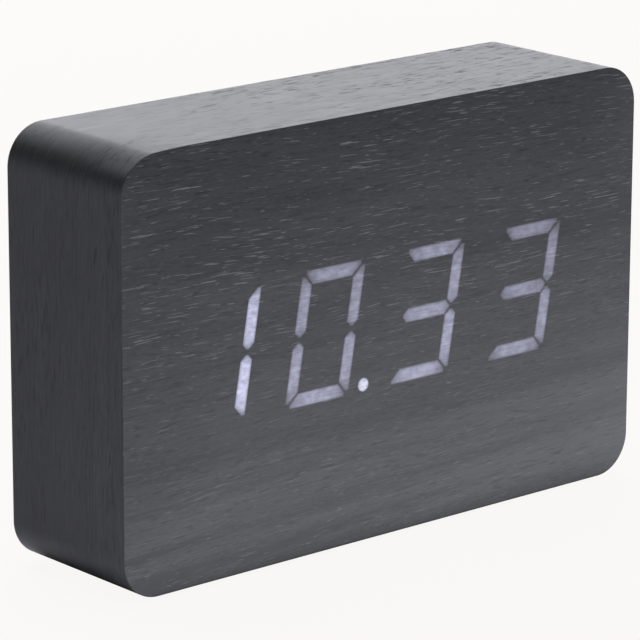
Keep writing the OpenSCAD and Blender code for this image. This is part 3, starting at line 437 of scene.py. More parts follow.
# A screw's plated head, painted dark down in its recess as dirt and painted shade, which starts and is dark
# at these depths in millimetres
RECESS_START = 0.12
RECESS_DARK = 0.35
RECESS_DIRT_AND_PAINTED_SHADE = 0.08
TURNED_SCALE = (1400, 300, 1400)
TURNED_SHADES = (0.75, 0.95)


def screw_material(name, node, colour):
    made, tree, shader = start_material(name)
    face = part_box(node)[1].y
    at = cad_place(tree)
    # Darker down in the recess: dirt and painted shade
    recess_dirt_and_shade = ramp(tree, axis(tree, at, "Y"), face - RECESS_START * MM, face - RECESS_DARK * MM)
    dark, pale = (shade(colour, level) for level in TURNED_SHADES)
    turned = streaks(tree, at, TURNED_SCALE)
    bright = skinned(tree, shader, turned, dark, pale, rough=(0.28, 0.42), depth=METAL_RELIEF)
    feed(tree, shader.inputs["Base Color"], mixed(tree, recess_dirt_and_shade, bright, shade(colour, RECESS_DIRT_AND_PAINTED_SHADE)))
    shader.inputs["Metallic"].default_value = 1.0
    return made


# Pressed fibre board: flecks of two sizes
FLECK_SCALE = (900, 2600, 1500)
FLECK_DARK = (0.26, 0.17, 0.09)
FLECK_PALE = (0.44, 0.31, 0.18)
SPECK_SCALE = 1800.0
SPECK_SPAN = (0.62, 0.72)
SPECK_COLOUR = (0.14, 0.085, 0.045)


def fibre_material(name):
    made, tree, shader = start_material(name)
    at = cad_place(tree)
    flecks = streaks(tree, at, FLECK_SCALE)
    specks = ramp(tree, noise(tree, at, SPECK_SCALE, SMOOTH), *SPECK_SPAN)
    dark, pale = shade(FLECK_DARK), shade(FLECK_PALE)
    body = skinned(tree, shader, flecks, dark, pale, rough=(0.75, 0.95), depth=0.08)
    feed(tree, shader.inputs["Base Color"], mixed(tree, specks, body, shade(SPECK_COLOUR)))
    return made


# Sawn softwood with its grain along Y
RING_SCALE = (420, 14, 420)
RING_SPAN = (0.35, 0.65)
EARLY_WOOD = (0.62, 0.46, 0.26)
LATE_WOOD = (0.42, 0.27, 0.13)
SAWN_SCALE = (2600, 90, 2600)
SAWN_SPAN = (0.4, 0.9)
SAWN_DARK = (0.3, 0.19, 0.09)
SAWN_ROUGH = (0.6, 0.85)
SAWN_DEPTH = 0.06


def pine_material(name):
    made, tree, shader = start_material(name)
    at = cad_place(tree)
    rings = streaks(tree, at, RING_SCALE, SMOOTH)
    fibre = streaks(tree, at, SAWN_SCALE, SMOOTH)
    body = mixed(tree, ramp(tree, rings, *RING_SPAN), shade(EARLY_WOOD), shade(LATE_WOOD))
    sawn = mixed(tree, ramp(tree, fibre, *SAWN_SPAN), body, shade(SAWN_DARK))
    feed(tree, shader.inputs["Base Color"], sawn)
    feed(tree, shader.inputs["Roughness"], ramp(tree, fibre, *NOISE_SPAN, *SAWN_ROUGH))
    set_bump(tree, shader, fibre, SAWN_DEPTH)
    return made


# Circuit board: green lacquer over copper runs, drawn in the plane of X and Z
RUN_SCALE = 110.0
RUN_WIDTH = 0.03
RUN_OFFSET = 0.37
PICK_SCALE = 120.0
PICK_SPAN = (0.42, 0.5)
WEAVE_SCALE = 1600.0
WEAVE_RELIEF = 0.2
LACQUER_DARK = (0.012, 0.11, 0.042)
LACQUER_PALE = (0.022, 0.16, 0.062)
LACQUER_ROUGH = (0.22, 0.36)
COPPER_UNDER = (0.05, 0.27, 0.1)
COPPER_DEPTH = 0.03


def board_material(name):
    made, tree, shader = start_material(name)
    at = cad_place(tree)
    flat = joined(tree, X=axis(tree, at, "X"), Y=axis(tree, at, "Z"))
    brick = {"Vector": flat, "Scale": RUN_SCALE, "Mortar Size": RUN_WIDTH}
    runs = add(tree, "ShaderNodeTexBrick", brick, offset=RUN_OFFSET).outputs["Fac"]
    copper = times(tree, runs, ramp(tree, noise(tree, at, PICK_SCALE, SOFT), *PICK_SPAN))
    weave = noise(tree, at, WEAVE_SCALE, SMOOTH)
    body = clouded(tree, weave, shade(LACQUER_DARK), shade(LACQUER_PALE))
    feed(tree, shader.inputs["Base Color"], mixed(tree, copper, body, shade(COPPER_UNDER)))
    feed(tree, shader.inputs["Roughness"], ramp(tree, weave, *NOISE_SPAN, *LACQUER_ROUGH))
    set_bump(tree, shader, plus(tree, copper, times(tree, weave, WEAVE_RELIEF)), COPPER_DEPTH)
    return made


# A cell: a sleeve with a pale band at each end, and bare metal inside its rims, in millimetres
SLEEVE_RIM = 4.5
SLEEVE_FADE = 0.05
BAND_START = 18.4
BAND_FULL = 18.5
SLEEVE_SCALE = (160, 700, 700)
SLEEVE_DARK = (0.05, 0.15, 0.33)
SLEEVE_PALE = (0.07, 0.2, 0.4)
SLEEVE_BAND = (0.5, 0.52, 0.55)
BARE_METAL = (0.62, 0.62, 0.63)


def cell_material(name, node):
    made, tree, shader = start_material(name)
    low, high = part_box(node)
    at = cad_place(tree)
    from_middle = vector_calc(tree, "SUBTRACT", at, tuple((low + high) / 2))
    out = joined(tree, Y=axis(tree, from_middle, "Y"), Z=axis(tree, from_middle, "Z"))
    reach = add(tree, "ShaderNodeVectorMath", {0: out}, operation="LENGTH").outputs["Value"]
    bare = ramp(tree, reach, (SLEEVE_RIM + SLEEVE_FADE) * MM, SLEEVE_RIM * MM)
    along = calc(tree, "ABSOLUTE", axis(tree, from_middle, "X"))
    band = ramp(tree, along, BAND_START * MM, BAND_FULL * MM)
    dark, pale = shade(SLEEVE_DARK), shade(SLEEVE_PALE)
    scuffs = streaks(tree, at, SLEEVE_SCALE)
    sleeve = skinned(tree, shader, scuffs, dark, pale, rough=(0.24, 0.4), depth=0.02)
    banded = mixed(tree, band, sleeve, shade(SLEEVE_BAND))
    feed(tree, shader.inputs["Base Color"], mixed(tree, bare, banded, shade(BARE_METAL)))
    feed(tree, shader.inputs["Metallic"], bare)
    return made


# A chip: a moulded body with bright legs that reach out of its two long sides, in millimetres
LEG_REACH = 1.35
LEG_FADE = 0.02
LEG_METAL = (0.7, 0.7, 0.68)
CHIP_SKIN_SCALE = 2600.0
CHIP_DARK = (0.014, 0.014, 0.015)
CHIP_PALE = (0.026, 0.026, 0.028)


def chip_material(name, node):
    made, tree, shader = start_material(name)
    low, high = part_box(node)
    at = cad_place(tree)
    off_middle = calc(tree, "SUBTRACT", axis(tree, at, "Z"), (low.z + high.z) / 2)
    side = (high.z - low.z) / 2 - LEG_REACH * MM
    leg = ramp(tree, calc(tree, "ABSOLUTE", off_middle), side - LEG_FADE * MM, side)
    dark, pale = shade(CHIP_DARK), shade(CHIP_PALE)
    skin = noise(tree, at, CHIP_SKIN_SCALE, SMOOTH)
    body = skinned(tree, shader, skin, dark, pale, rough=(0.4, 0.6), depth=0.02)
    feed(tree, shader.inputs["Base Color"], mixed(tree, leg, body, shade(LEG_METAL)))
    feed(tree, shader.inputs["Metallic"], leg)
    return made


# Mesh helpers: edges sharper than the crease angle stay sharp in the shading
CREASE_ANGLE = math.radians(35)


# A mesh made into a piece that rides on a body and stands for a solid
def keep_piece(mesh_data, name, material, node, body="clock_case"):
    mesh = bpy.data.meshes.new(name)
    mesh_data.to_mesh(mesh)
    mesh_data.free()
    mesh.materials.append(material)
    mesh.shade_smooth()
    mesh.set_sharp_from_angle(angle=CREASE_ANGLE)
    piece = bpy.data.objects.new(name, mesh)
    scene.collection.objects.link(piece)
    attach(piece, body)
    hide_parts(node)
    return piece


# Points of a circle, or of a regular shape of few steps
def round_loop(radius, steps, turn=0.0):
    return [(radius * math.cos(turn + k * math.tau / steps), radius * math.sin(turn + k * math.tau / steps))
            for k in range(steps)]


# Faces between two closed rings of as many points
def join_rings(mesh, first, second):
    count = len(first)
    for i in range(count):
        j = (i + 1) % count
        mesh.faces.new((first[i], first[j], second[j], second[i]))


# A closed body through a row of rings, with a flat face at each end
def fill_rings(mesh, rings):
    for first, second in zip(rings, rings[1:]):
        join_rings(mesh, first, second)
    mesh.faces.new(rings[0])
    mesh.faces.new(rings[-1])


# The block in millimetres: its corners, the opening in its back, its veneer and the band's butt joint
CORNER_R = 9.2
OPENING_R = 4.0
OPENING_GAP = 0.3
VENEER = 0.6
SEAM = 0.2

# An outline's corners: where each arc starts in degrees, and on which side its centre lies
CORNERS = ((-90, 1, -1), (0, 1, 1), (90, -1, 1), (180, -1, -1))
CORNER_STEPS = 24

# Distances before and after an arc at which its straight sides have points too
RUN_OUT = (1.0, 2.0, 3.5, 5.0, 7.0, 9.5)

# Millimetres by which the grain of edges and back is moved on, so that it doesn't repeat the front's
GRAIN_SHIFT = 300


# Rounded rectangle, anticlockwise from the middle of its lower edge, in millimetres
def rounded_loop(half_w, half_h, radius, inset=0.0, seam=0.0):
    r = radius - inset
    points = [(seam / 2, inset - half_h)]
    for turn, sx, sz in CORNERS:
        arc = []
        for step in range(CORNER_STEPS + 1):
            angle = math.radians(turn + 90 * step / CORNER_STEPS)
            x = sx * (half_w - radius) + r * math.cos(angle)
            z = sz * (half_h - radius) + r * math.sin(angle)
            arc.append((x, z))
        ahead = math.radians(turn + 90)
        before = [(arc[0][0] - back * math.cos(ahead), arc[0][1] - back * math.sin(ahead))
                  for back in reversed(RUN_OUT)]
        past = math.radians(turn + 180)
        after = [(arc[-1][0] + on * math.cos(past), arc[-1][1] + on * math.sin(past)) for on in RUN_OUT]
        points.extend(before + arc + after)
    if seam:
        points.append((-seam / 2, inset - half_h))
    return points


# Length along a loop up to each of its points
def run_lengths(points):
    total = 0.0
    lengths = [0.0]
    for first, second in zip(points, points[1:]):
        total += math.dist(first, second)
        lengths.append(total)
    return lengths


def ring_verts(mesh, points, y, mid_z):
    return [mesh.verts.new((x * MM, y * MM, (z + mid_z) * MM)) for x, z in points]


# Grain along a sheet's outline: how far along each corner of a face lies, in millimetres
def wrap_grain(face, layer, distances):
    for corner, along in zip(face.loops, distances):
        corner[layer] = Vector(((along + GRAIN_SHIFT) * MM, corner.vert.co.y, 0))


# Level grain on a flat face
def lay_grain(face, layer, shift=0):
    for corner in face.loops:
        co = corner.vert.co
        corner[layer] = Vector((co.x, co.z + shift * MM, 0))


# Faces between two closed loops, with their grain along the loop
def bridge(mesh, layer, first, second, lengths):
    count = len(first)
    for i in range(count):
        j = (i + 1) % count
        face = mesh.faces.new((first[i], first[j], second[j], second[i]))
        start = lengths[i]
        end = lengths[j] if j else start + math.dist(first[i].co, first[j].co) / MM
        wrap_grain(face, layer, (start, end, end, start))


# Display layout in millimetres, out from the display's own middle
DISPLAY_X = -4.05
DISPLAY_UP = 0.95
DIGIT_PITCH = 29.85
DIGIT_W = 18.12
DIGIT_H = 30.2
DIGIT_LEAN = math.tan(math.radians(9.8))
SEGMENT_W = 3.0
SEGMENT_MITRE = 0.55 / SQRT2
SEGMENT_TIP = 0.35
SEGMENT_CUT = 0.85
DOT_R = 1.45
DOT_X = 13.5
DOT_STEPS = 24
HALF_W = (DIGIT_W - SEGMENT_W) / 2
HALF_H = (DIGIT_H - SEGMENT_W) / 2

# Which bars are lit in each digit, and how brightly they and the dot shine
LIT_BARS = ("bc", "abcdef", "abcdg", "abcdg")
MIDDLE_DIGIT = (len(LIT_BARS) - 1) / 2
DIGIT_GLOW = (0.85, 0.43, 0.46, 0.36)
LOWER_GLOW = 1.18
LOWER_FROM = -1
DOT_DIGIT = 1
DOT_GLOW = 1.1

# Outlines of a lit shape: inset in millimetres and share of its light there
GLOW_RINGS = ((-0.22, 0.0), (0.15, 0.76), (0.6, 1.0))

# The light lost at a bar's ends, how late it falls, and the longest step along an outline
END_FALL = 0.58
FALL_POWER = 3
LIGHT_STEP = 1.2

# The triangulation fills the outlines' whole hull, and joins points closer than this in millimetres
WHOLE_HULL = 0
SAME_PLACE = 0.0001


# Outline of one bar of a digit, drawn in by an inset
def bar_outline(bar, inset):
    half = SEGMENT_W / 2 - inset
    mitre = SEGMENT_MITRE + inset * SQRT2
    tip = SEGMENT_TIP + inset - inset * SQRT2
    cut = SEGMENT_CUT - inset * SQRT2
    if bar in "ad":
        up = 1 if bar == "a" else -1
        blunt = HALF_W + half - mitre - cut
        right = [(blunt, HALF_H + half), (blunt, HALF_H + half - cut), (HALF_W - half - mitre, HALF_H - half)]
        points = right + [(-u, v) for u, v in reversed(right)]
        return [(u, up * v) for u, v in points]
    if bar == "g":
        steps = ((half, half), (tip, tip), (tip, -tip), (half, -half))
        return [(side * (HALF_W - mitre - out), -side * across) for side in (-1, 1) for out, across in steps]
    side = 1 if bar in "bc" else -1
    up = 1 if bar in "bf" else -1
    blunt = HALF_H + half - mitre - cut
    points = [(half, blunt), (half - cut, blunt), (-half, HALF_H - half - mitre), (-half, mitre + half),
              (-tip, mitre + tip), (tip, mitre + tip), (half, mitre + half)]
    return [(side * (HALF_W + u), up * v) for u, v in points]


# Share of a bar's light at a point: full at the bar's middle and less towards its ends
def bar_fall(bar, u, v):
    if bar in "adg":
        along = abs(u) / HALF_W
    else:
        along = abs(abs(v) - HALF_H / 2) / (HALF_H / 2)
    level = LOWER_GLOW if v < LOWER_FROM else 1.0
    return level * (1 - END_FALL * min(1.0, along) ** FALL_POWER)


# A closed outline with its long edges cut into short steps
def fine_outline(points):
    fine = []
    for first, second in zip(points, points[1:] + points[:1]):
        steps = max(1, math.ceil(math.dist(first, second) / LIGHT_STEP))
        for step in range(steps):
            share = step / steps
            fine.append(tuple(a + (b - a) * share for a, b in zip(first, second)))
    return fine


# A digit's own point, leaned and set in its place on the front
def leaned(digit, u, v):
    return (DISPLAY_X + (digit - MIDDLE_DIGIT) * DIGIT_PITCH + u + v * DIGIT_LEAN, DISPLAY_UP + v)


# Every outline of every lit shape: its points on the front face and the light at each
def glow_lines():
    lines = []
    for digit, bars in enumerate(LIT_BARS):
        for bar in bars:
            for inset, share in GLOW_RINGS:
                points = fine_outline(bar_outline(bar, inset))
                levels = [share * DIGIT_GLOW[digit] * bar_fall(bar, u, v) for u, v in points]
                lines.append(([leaned(digit, u, v) for u, v in points], levels))
    dot_x, dot_z = leaned(DOT_DIGIT, DOT_X, -HALF_H)
    for inset, share in GLOW_RINGS:
        outline = [(dot_x + u, dot_z + v) for u, v in round_loop(DOT_R - inset, DOT_STEPS)]
        lines.append((outline, [share * DOT_GLOW] * DOT_STEPS))
    return lines


# Triangles of a flat face that follow closed outlines, and which given point each corner came from
def flat_triangles(lines):
    points = []
    edges = []
    for line in lines:
        start = len(points)
        count = len(line)
        points.extend(Vector(p) for p in line)
        edges.extend((start + i, start + (i + 1) % count) for i in range(count))
    found, _, faces, origins, _, _ = delaunay_2d_cdt(points, edges, [], WHOLE_HULL, SAME_PLACE)
    return found, faces, origins


# Loops that roll a sheet's outer edge over on to its face, each as an inset and a distance below the face
EDGE_R = 0.15
EDGE_STEPS = 3


def edge_roll():
    rolls = []
    for step in range(EDGE_STEPS + 1):
        angle = math.pi / 2 * step / EDGE_STEPS
        rolls.append((EDGE_R * (1 - math.cos(angle)), EDGE_R * (1 - math.sin(angle))))
    return rolls


# The front's upper left corner is sanded softer than the others, and further along the top than down the side
SANDED = 0.55
SANDED_PEAK = 1.5
SANDED_UP = 8.0
SANDED_DOWN = 3.5

# How the sanding fades towards the back: millimetres behind the front's edge and the share left there
SANDED_FADE = (
    (0.0, 1.0),
    (3.0, 0.94),
    (6.0, 0.8),
    (9.0, 0.6),
    (12.0, 0.4),
    (15.0, 0.22),
    (18.0, 0.09),
    (22.0, 0.0),
)


# Millimetres sanded off at a point of the outline, from its distance along the outline to the corner's middle
def sanded(point, half_w, half_h):
    x, z = point
    centre_x = CORNER_R - half_w
    centre_z = half_h - CORNER_R
    middle = CORNER_R * math.pi / 4
    if z < 0:
        return 0.0
    if x > centre_x:
        along = middle + x - centre_x
    elif z < centre_z:
        along = z - centre_z - middle
    else:
        along = CORNER_R * math.atan2(z - centre_z, centre_x - x) - middle
    reach = SANDED_UP if along > SANDED_PEAK else SANDED_DOWN
    return SANDED * math.exp(-(((along - SANDED_PEAK) / reach) ** 2))


# The block's outline with a share of the sanding taken off it, towards a loop one millimetre further in
def worn_loop(half_w, half_h, inset=0.0, seam=0.0, share=1.0):
    outline = rounded_loop(half_w, half_h, CORNER_R, 0.0, seam)
    edge = rounded_loop(half_w, half_h, CORNER_R, inset, seam)
    further = rounded_loop(half_w, half_h, CORNER_R, inset + 1.0, seam)
    worn = []
    for point, (x, z), (in_x, in_z) in zip(outline, edge, further):
        move = sanded(point, half_w, half_h) * share
        worn.append((x + (in_x - x) * move, z + (in_z - z) * move))
    return worn


# A sheet's half width, half height, middle height, front and back, in millimetres
def sheet_sizes(node):
    low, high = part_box(node)
    half_w = (high.x - low.x) / 2 / MM
    half_h = (high.z - low.z) / 2 / MM
    mid_z = (high.z + low.z) / 2 / MM
    return half_w, half_h, mid_z, low.y / MM, high.y / MM


# Front sheet: one face with the lit shapes laid out in it
def front_sheet(material):
    half_w, half_h, mid_z, y_face, y_inner = sheet_sizes("front_veneer")
    mesh = bmesh.new()
    grain = mesh.loops.layers.float_vector.new("grain")
    glow = mesh.verts.layers.float.new("glow")
    base = worn_loop(half_w, half_h)
    lengths = run_lengths(base)
    inner = ring_verts(mesh, base, y_inner, mid_z)
    below = inner
    for inset, depth in edge_roll():
        loop = worn_loop(half_w, half_h, inset)
        ring = ring_verts(mesh, loop, y_face + depth, mid_z)
        bridge(mesh, grain, below, ring, lengths)
        below = ring
    lay_grain(mesh.faces.new(inner), grain)
    lines = glow_lines()
    found, faces, origins = flat_triangles([loop] + [points for points, _ in lines])
    levels = [0.0] * len(loop)
    for _, light in lines:
        levels.extend(light)
    verts = []
    for point, origin in zip(found, origins):
        if origin and origin[0] < len(loop):
            verts.append(below[origin[0]])
            continue
        vert = mesh.verts.new((point.x * MM, y_face * MM, (point.y + mid_z) * MM))
        vert[glow] = levels[origin[0]] if origin else 0.0
        verts.append(vert)
    for corners in faces:
        lay_grain(mesh.faces.new([verts[i] for i in corners]), grain)
    bmesh.ops.recalc_face_normals(mesh, faces=mesh.faces)
    keep_piece(mesh, "front_sheet", material, "front_veneer")


# Edge band: one strip wrapped round the block, with its butt joint under the clock
def edge_band(material):
    half_w, half_h, mid_z, y_first, y_last = sheet_sizes("edge_veneer")
    mesh = bmesh.new()
    grain = mesh.loops.layers.float_vector.new("grain")
    outer_loop = rounded_loop(half_w, half_h, CORNER_R, 0.0, SEAM)
    inner_loop = rounded_loop(half_w, half_h, CORNER_R, VENEER, SEAM)
    lengths = run_lengths(outer_loop)
    rings = []
    for back, share in SANDED_FADE:
        loop = worn_loop(half_w, half_h, 0.0, SEAM, share)
        rings.append(ring_verts(mesh, loop, y_first + back, mid_z))
    for loop, y in ((outer_loop, y_last), (inner_loop, y_last), (inner_loop, y_first)):
        rings.append(ring_verts(mesh, loop, y, mid_z))
    for first, second in zip(rings, rings[1:] + rings[:1]):
        for i in range(len(first) - 1):
            face = mesh.faces.new((first[i], first[i + 1], second[i + 1], second[i]))
            wrap_grain(face, grain, (lengths[i], lengths[i + 1], lengths[i + 1], lengths[i]))
    for end in (0, -1):
        lay_grain(mesh.faces.new([ring[end] for ring in rings]), grain)
    bmesh.ops.recalc_face_normals(mesh, faces=mesh.faces)
    keep_piece(mesh, "edge_band", material, "edge_veneer")


# Rear sheet: a border round the opening for the rear panel
def rear_sheet(material):
    half_w, half_h, mid_z, y_inner, y_face = sheet_sizes("rear_veneer")
    panel_half_w, panel_half_h, _, _, _ = sheet_sizes("rear_panel")
    open_w = panel_half_w + OPENING_GAP
    open_h = panel_half_h + OPENING_GAP
    mesh = bmesh.new()
    grain = mesh.loops.layers.float_vector.new("grain")
    sides = []
    for width, height, radius, sign in ((half_w, half_h, CORNER_R, 1), (open_w, open_h, OPENING_R, -1)):
        base = rounded_loop(width, height, radius)
        lengths = run_lengths(base)
        below = ring_verts(mesh, base, y_inner, mid_z)
        first = below
        for inset, depth in edge_roll():
            loop = rounded_loop(width, height, radius, sign * inset)
            ring = ring_verts(mesh, loop, y_face - depth, mid_z)
            bridge(mesh, grain, below, ring, lengths)
            below = ring
        sides.append((base, first, loop, below))
    for outer, hole in ((sides[0][0:2], sides[1][0:2]), (sides[0][2:4], sides[1][2:4])):
        _, faces, origins = flat_triangles([outer[0], hole[0]])
        verts = outer[1] + hole[1]
        for corners in faces:
            if all(origins[i][0] >= len(outer[1]) for i in corners):
                continue
            lay_grain(mesh.faces.new([verts[origins[i][0]] for i in corners]), grain, GRAIN_SHIFT)
    bmesh.ops.recalc_face_normals(mesh, faces=mesh.faces)
    keep_piece(mesh, "rear_sheet", material, "rear_veneer")


# Feet: pads with a rounded rim, whose profile is radius and height in millimetres
FOOT_R = 4.5
FOOT_PROFILE = ((4.05, 0.0), (4.2, 0.04), (4.33, 0.14), (4.42, 0.28), (4.48, 0.46), (4.5, 0.64), (4.5, 1.0))
FOOT_STEPS = 48


def foot_pads(material):
    low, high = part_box("rubber_feet")
    mesh = bmesh.new()
    for x in (low.x + FOOT_R * MM, high.x - FOOT_R * MM):
        for y in (low.y + FOOT_R * MM, high.y - FOOT_R * MM):
            rings = []
            for radius, height in FOOT_PROFILE:
                loop = round_loop(radius * MM, FOOT_STEPS)
                rings.append([mesh.verts.new((x + u, y + v, height * MM)) for u, v in loop])
            fill_rings(mesh, rings)
    bmesh.ops.recalc_face_normals(mesh, faces=mesh.faces)
    keep_piece(mesh, "foot_pads", material, "rubber_feet")


# Battery springs: a conical coil of round wire from each spring's plate to its cell
CELL_COUNT = 4
WIRE_R = 0.3
COIL_WIDE_R = 3.6
COIL_TIP_R = 2.4
COIL_RISE = 4.6
COIL_TURNS = 3.5
COIL_STEPS = 112
WIRE_SIDES = 14


def coil_springs(material):
    low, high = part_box("contact_springs")
    mesh = bmesh.new()
    for number in range(CELL_COUNT):
        cell_low, cell_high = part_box(f"cell_{number + 1}")
        mid = (cell_low + cell_high) / 2
        side = 1 if number % 2 == 0 else -1
        start = low.x if side == 1 else high.x
        rings = []
        for step in range(COIL_STEPS + 1):
            share = step / COIL_STEPS
            angle = share * COIL_TURNS * math.tau
            radius = COIL_WIDE_R + (COIL_TIP_R - COIL_WIDE_R) * share
            along = WIRE_R + COIL_RISE * share
            ring = []
            for u, v in round_loop(WIRE_R, WIRE_SIDES):
                x = start + side * (along + v) * MM
                y = mid.y + (radius + u) * math.cos(angle) * MM
                z = mid.z + (radius + u) * math.sin(angle) * MM
                ring.append(mesh.verts.new((x, y, z)))
            rings.append(ring)
        fill_rings(mesh, rings)
    bmesh.ops.recalc_face_normals(mesh, faces=mesh.faces)
    keep_piece(mesh, "coil_springs", material, "contact_springs")


# A solid's own shape with its sharp edges rounded: points closer than this in metres are joined first
SAME_POINT = 1e-7
FLAT_ANGLE = math.radians(0.5)
SHARP_ANGLE = math.radians(40)
ROUND_SEGMENTS = 2
ROUND_PROFILE = 0.5


# The radius is in millimetres
def softened(node, radius, material, body):
    mesh = bmesh.new()
    mesh.from_mesh(nodes[node].data)
    bmesh.ops.remove_doubles(mesh, verts=mesh.verts, dist=SAME_POINT)
    bmesh.ops.dissolve_limit(mesh, angle_limit=FLAT_ANGLE, verts=mesh.verts, edges=mesh.edges)
    sharp = [edge for edge in mesh.edges if edge.is_manifold and edge.calc_face_angle() > SHARP_ANGLE]
    bmesh.ops.bevel(mesh, geom=sharp, offset=radius * MM, segments=ROUND_SEGMENTS, profile=ROUND_PROFILE,
                    affect="EDGES", clamp_overlap=True)
    bmesh.ops.dissolve_degenerate(mesh, dist=SAME_POINT, edges=mesh.edges)
    piece = keep_piece(mesh, f"soft_{node}", material, node, body)
    weighted = piece.modifiers.new("weighted_normals", "WEIGHTED_NORMAL")
    weighted.keep_sharp = True


# Button caps: a flange, a rounded rim, a shallow dish and a raised mark with softened edges, in millimetres
CAP_R = 3.6
CAP_FLANGE_H = 1.1
CAP_FLANGE_EDGE = 0.15
CAP_ROUND = 0.55
CAP_ROUND_STEPS = 6
CAP_DISH = 0.14
CAP_STEPS = 72
MARK_H = 0.15
MARK_R = 1.5
MARK_LINE = 0.6
MARK_SOFT = 0.06
ARROW_SIDES = 3

# Shares of the dish's radius at which it has a ring of points
DISH_SHARES = (0.85, 0.65, 0.4, 0.15)


# A cap's radii and heights, from the flange's underside to the dish's middle
def cap_profile(flange_r, cap_h):
    profile = [
        (flange_r - CAP_FLANGE_EDGE, 0.0),
        (flange_r, CAP_FLANGE_EDGE),
        (flange_r, CAP_FLANGE_H - CAP_FLANGE_EDGE),
        (flange_r - CAP_FLANGE_EDGE, CAP_FLANGE_H),
        (CAP_R, CAP_FLANGE_H),
    ]
    dish_r = CAP_R - CAP_ROUND
    for step in range(CAP_ROUND_STEPS + 1):
        angle = math.pi / 2 * step / CAP_ROUND_STEPS
        height = cap_h - CAP_ROUND + CAP_ROUND * math.sin(angle)
        profile.append((dish_r + CAP_ROUND * math.cos(angle), height))
    for share in DISH_SHARES:
        profile.append((dish_r * share, cap_h - CAP_DISH * (1 - share * share)))
    return profile


# One or two closed outlines as a low raised shape: a floor, walls, softened edges and a flat top
def raised_mark(mesh, loops, base, top, place):
    floors = []
    lids = []
    for loop, inward in loops:
        rings = []
        for inset, height in ((0.0, base), (0.0, top - MARK_SOFT), (MARK_SOFT, top)):
            shrink = 1 - inset * inward / MARK_R
            rings.append([mesh.verts.new(place(u * shrink, v * shrink, height)) for u, v in loop])
        for first, second in zip(rings, rings[1:]):
            join_rings(mesh, first, second)
        floors.append(rings[0])
        lids.append(rings[-1])
    for ends in (floors, lids):
        if len(ends) == 1:
            mesh.faces.new(ends[0])
        else:
            join_rings(mesh, ends[0], ends[1])


def key_cap(node, body, mark, material):
    low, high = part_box(node)
    mid_x = (low.x + high.x) / 2
    mid_z = (low.z + high.z) / 2
    flange_r = (high.x - low.x) / 2 / MM
    cap_h = (high.y - low.y) / MM - MARK_H
    mesh = bmesh.new()

    def place(u, v, height):
        return (mid_x + u * MM, low.y + height * MM, mid_z + v * MM)

    rings = [[mesh.verts.new(place(u, v, height)) for u, v in round_loop(radius, CAP_STEPS)]
             for radius, height in cap_profile(flange_r, cap_h)]
    fill_rings(mesh, rings)
    if mark == "ring":
        loops = [(round_loop(MARK_R, CAP_STEPS), 1), (round_loop(MARK_R - MARK_LINE, CAP_STEPS), -1)]
    else:
        point = math.pi / 2 if mark == "up" else -math.pi / 2
        loops = [(round_loop(MARK_R, ARROW_SIDES, point), 1)]
    raised_mark(mesh, loops, cap_h - 2 * CAP_DISH, cap_h + MARK_H, place)
    bmesh.ops.recalc_face_normals(mesh, faces=mesh.faces)
    keep_piece(mesh, f"cap_{node}", material, node, body)


# Moulded slots: colour, colour where worn, roughness, the skin's scale and depth, and the edges' radius
BLACK_WORN = (0.075, 0.075, 0.08)
MOULDED = {
    "foot_rubber": ((0.026, 0.026, 0.027), (0.05, 0.05, 0.05), (0.6, 0.85), 2200.0, 0.03, 0.2),
    "diffuser_white": ((0.8, 0.8, 0.81), (0.7, 0.7, 0.7), (0.5, 0.7), 1500.0, 0.01, 0.2),
    "mask_white": ((0.78, 0.78, 0.76), (0.66, 0.66, 0.63), (0.4, 0.6), 1200.0, 0.02, 0.2),
    "lamp_white": ((0.8, 0.78, 0.55), (0.85, 0.85, 0.85), (0.15, 0.3), 2000.0, 0.01, 0.1),
    "chip_black": ((0.02, 0.02, 0.022), BLACK_WORN, (0.4, 0.6), 2600.0, 0.02, 0.2),
    "header_cream": ((0.74, 0.7, 0.6), (0.62, 0.58, 0.5), (0.35, 0.5), 1400.0, 0.02, 0.2),
    "cable_grey": ((0.27, 0.28, 0.3), (0.34, 0.35, 0.37), (0.4, 0.55), 900.0, 0.02, 0.2),
    "capacitor_blue": ((0.03, 0.05, 0.18), (0.1, 0.12, 0.25), (0.22, 0.36), 700.0, 0.02, 0.2),
    "bead_black": ((0.02, 0.018, 0.015), BLACK_WORN, (0.15, 0.3), 900.0, 0.03, 0.2),
    "stem_white": ((0.7, 0.7, 0.71), (0.55, 0.55, 0.55), (0.32, 0.48), 1300.0, 0.02, 0.2),
    "panel_black": ((0.021, 0.021, 0.023), BLACK_WORN, (0.42, 0.62), 2400.0, 0.06, 0.3),
    "button_black": ((0.034, 0.034, 0.037), (0.11, 0.11, 0.115), (0.28, 0.44), 1500.0, 0.015, 0.2),
    "socket_black": ((0.011, 0.011, 0.013), BLACK_WORN, (0.4, 0.55), 1600.0, 0.02, 0.1),
    "lead_red": ((0.42, 0.02, 0.02), (0.5, 0.08, 0.07), (0.32, 0.45), 1100.0, 0.02, 0.1),
    "lead_black": ((0.013, 0.013, 0.013), BLACK_WORN, (0.32, 0.45), 1100.0, 0.02, 0.1),
}

# Metal slots: colour, roughness and the streaks' scale
STEEL = (0.62, 0.62, 0.64)
METALS = {
    "bright_steel": (STEEL, (0.2, 0.38), (300, 1800, 1800)),
    "can_metal": ((0.7, 0.7, 0.72), (0.14, 0.3), (1500, 260, 1500)),
}
looks = {
    "fibre_board": fibre_material("fibre_board"),
    "post_wood": pine_material("post_wood"),
    "board_green": board_material("board_green"),
}
for slot, row in MOULDED.items():
    looks[slot] = moulded(slot, *row)
for slot, row in METALS.items():
    looks[slot] = metal(slot, *row)

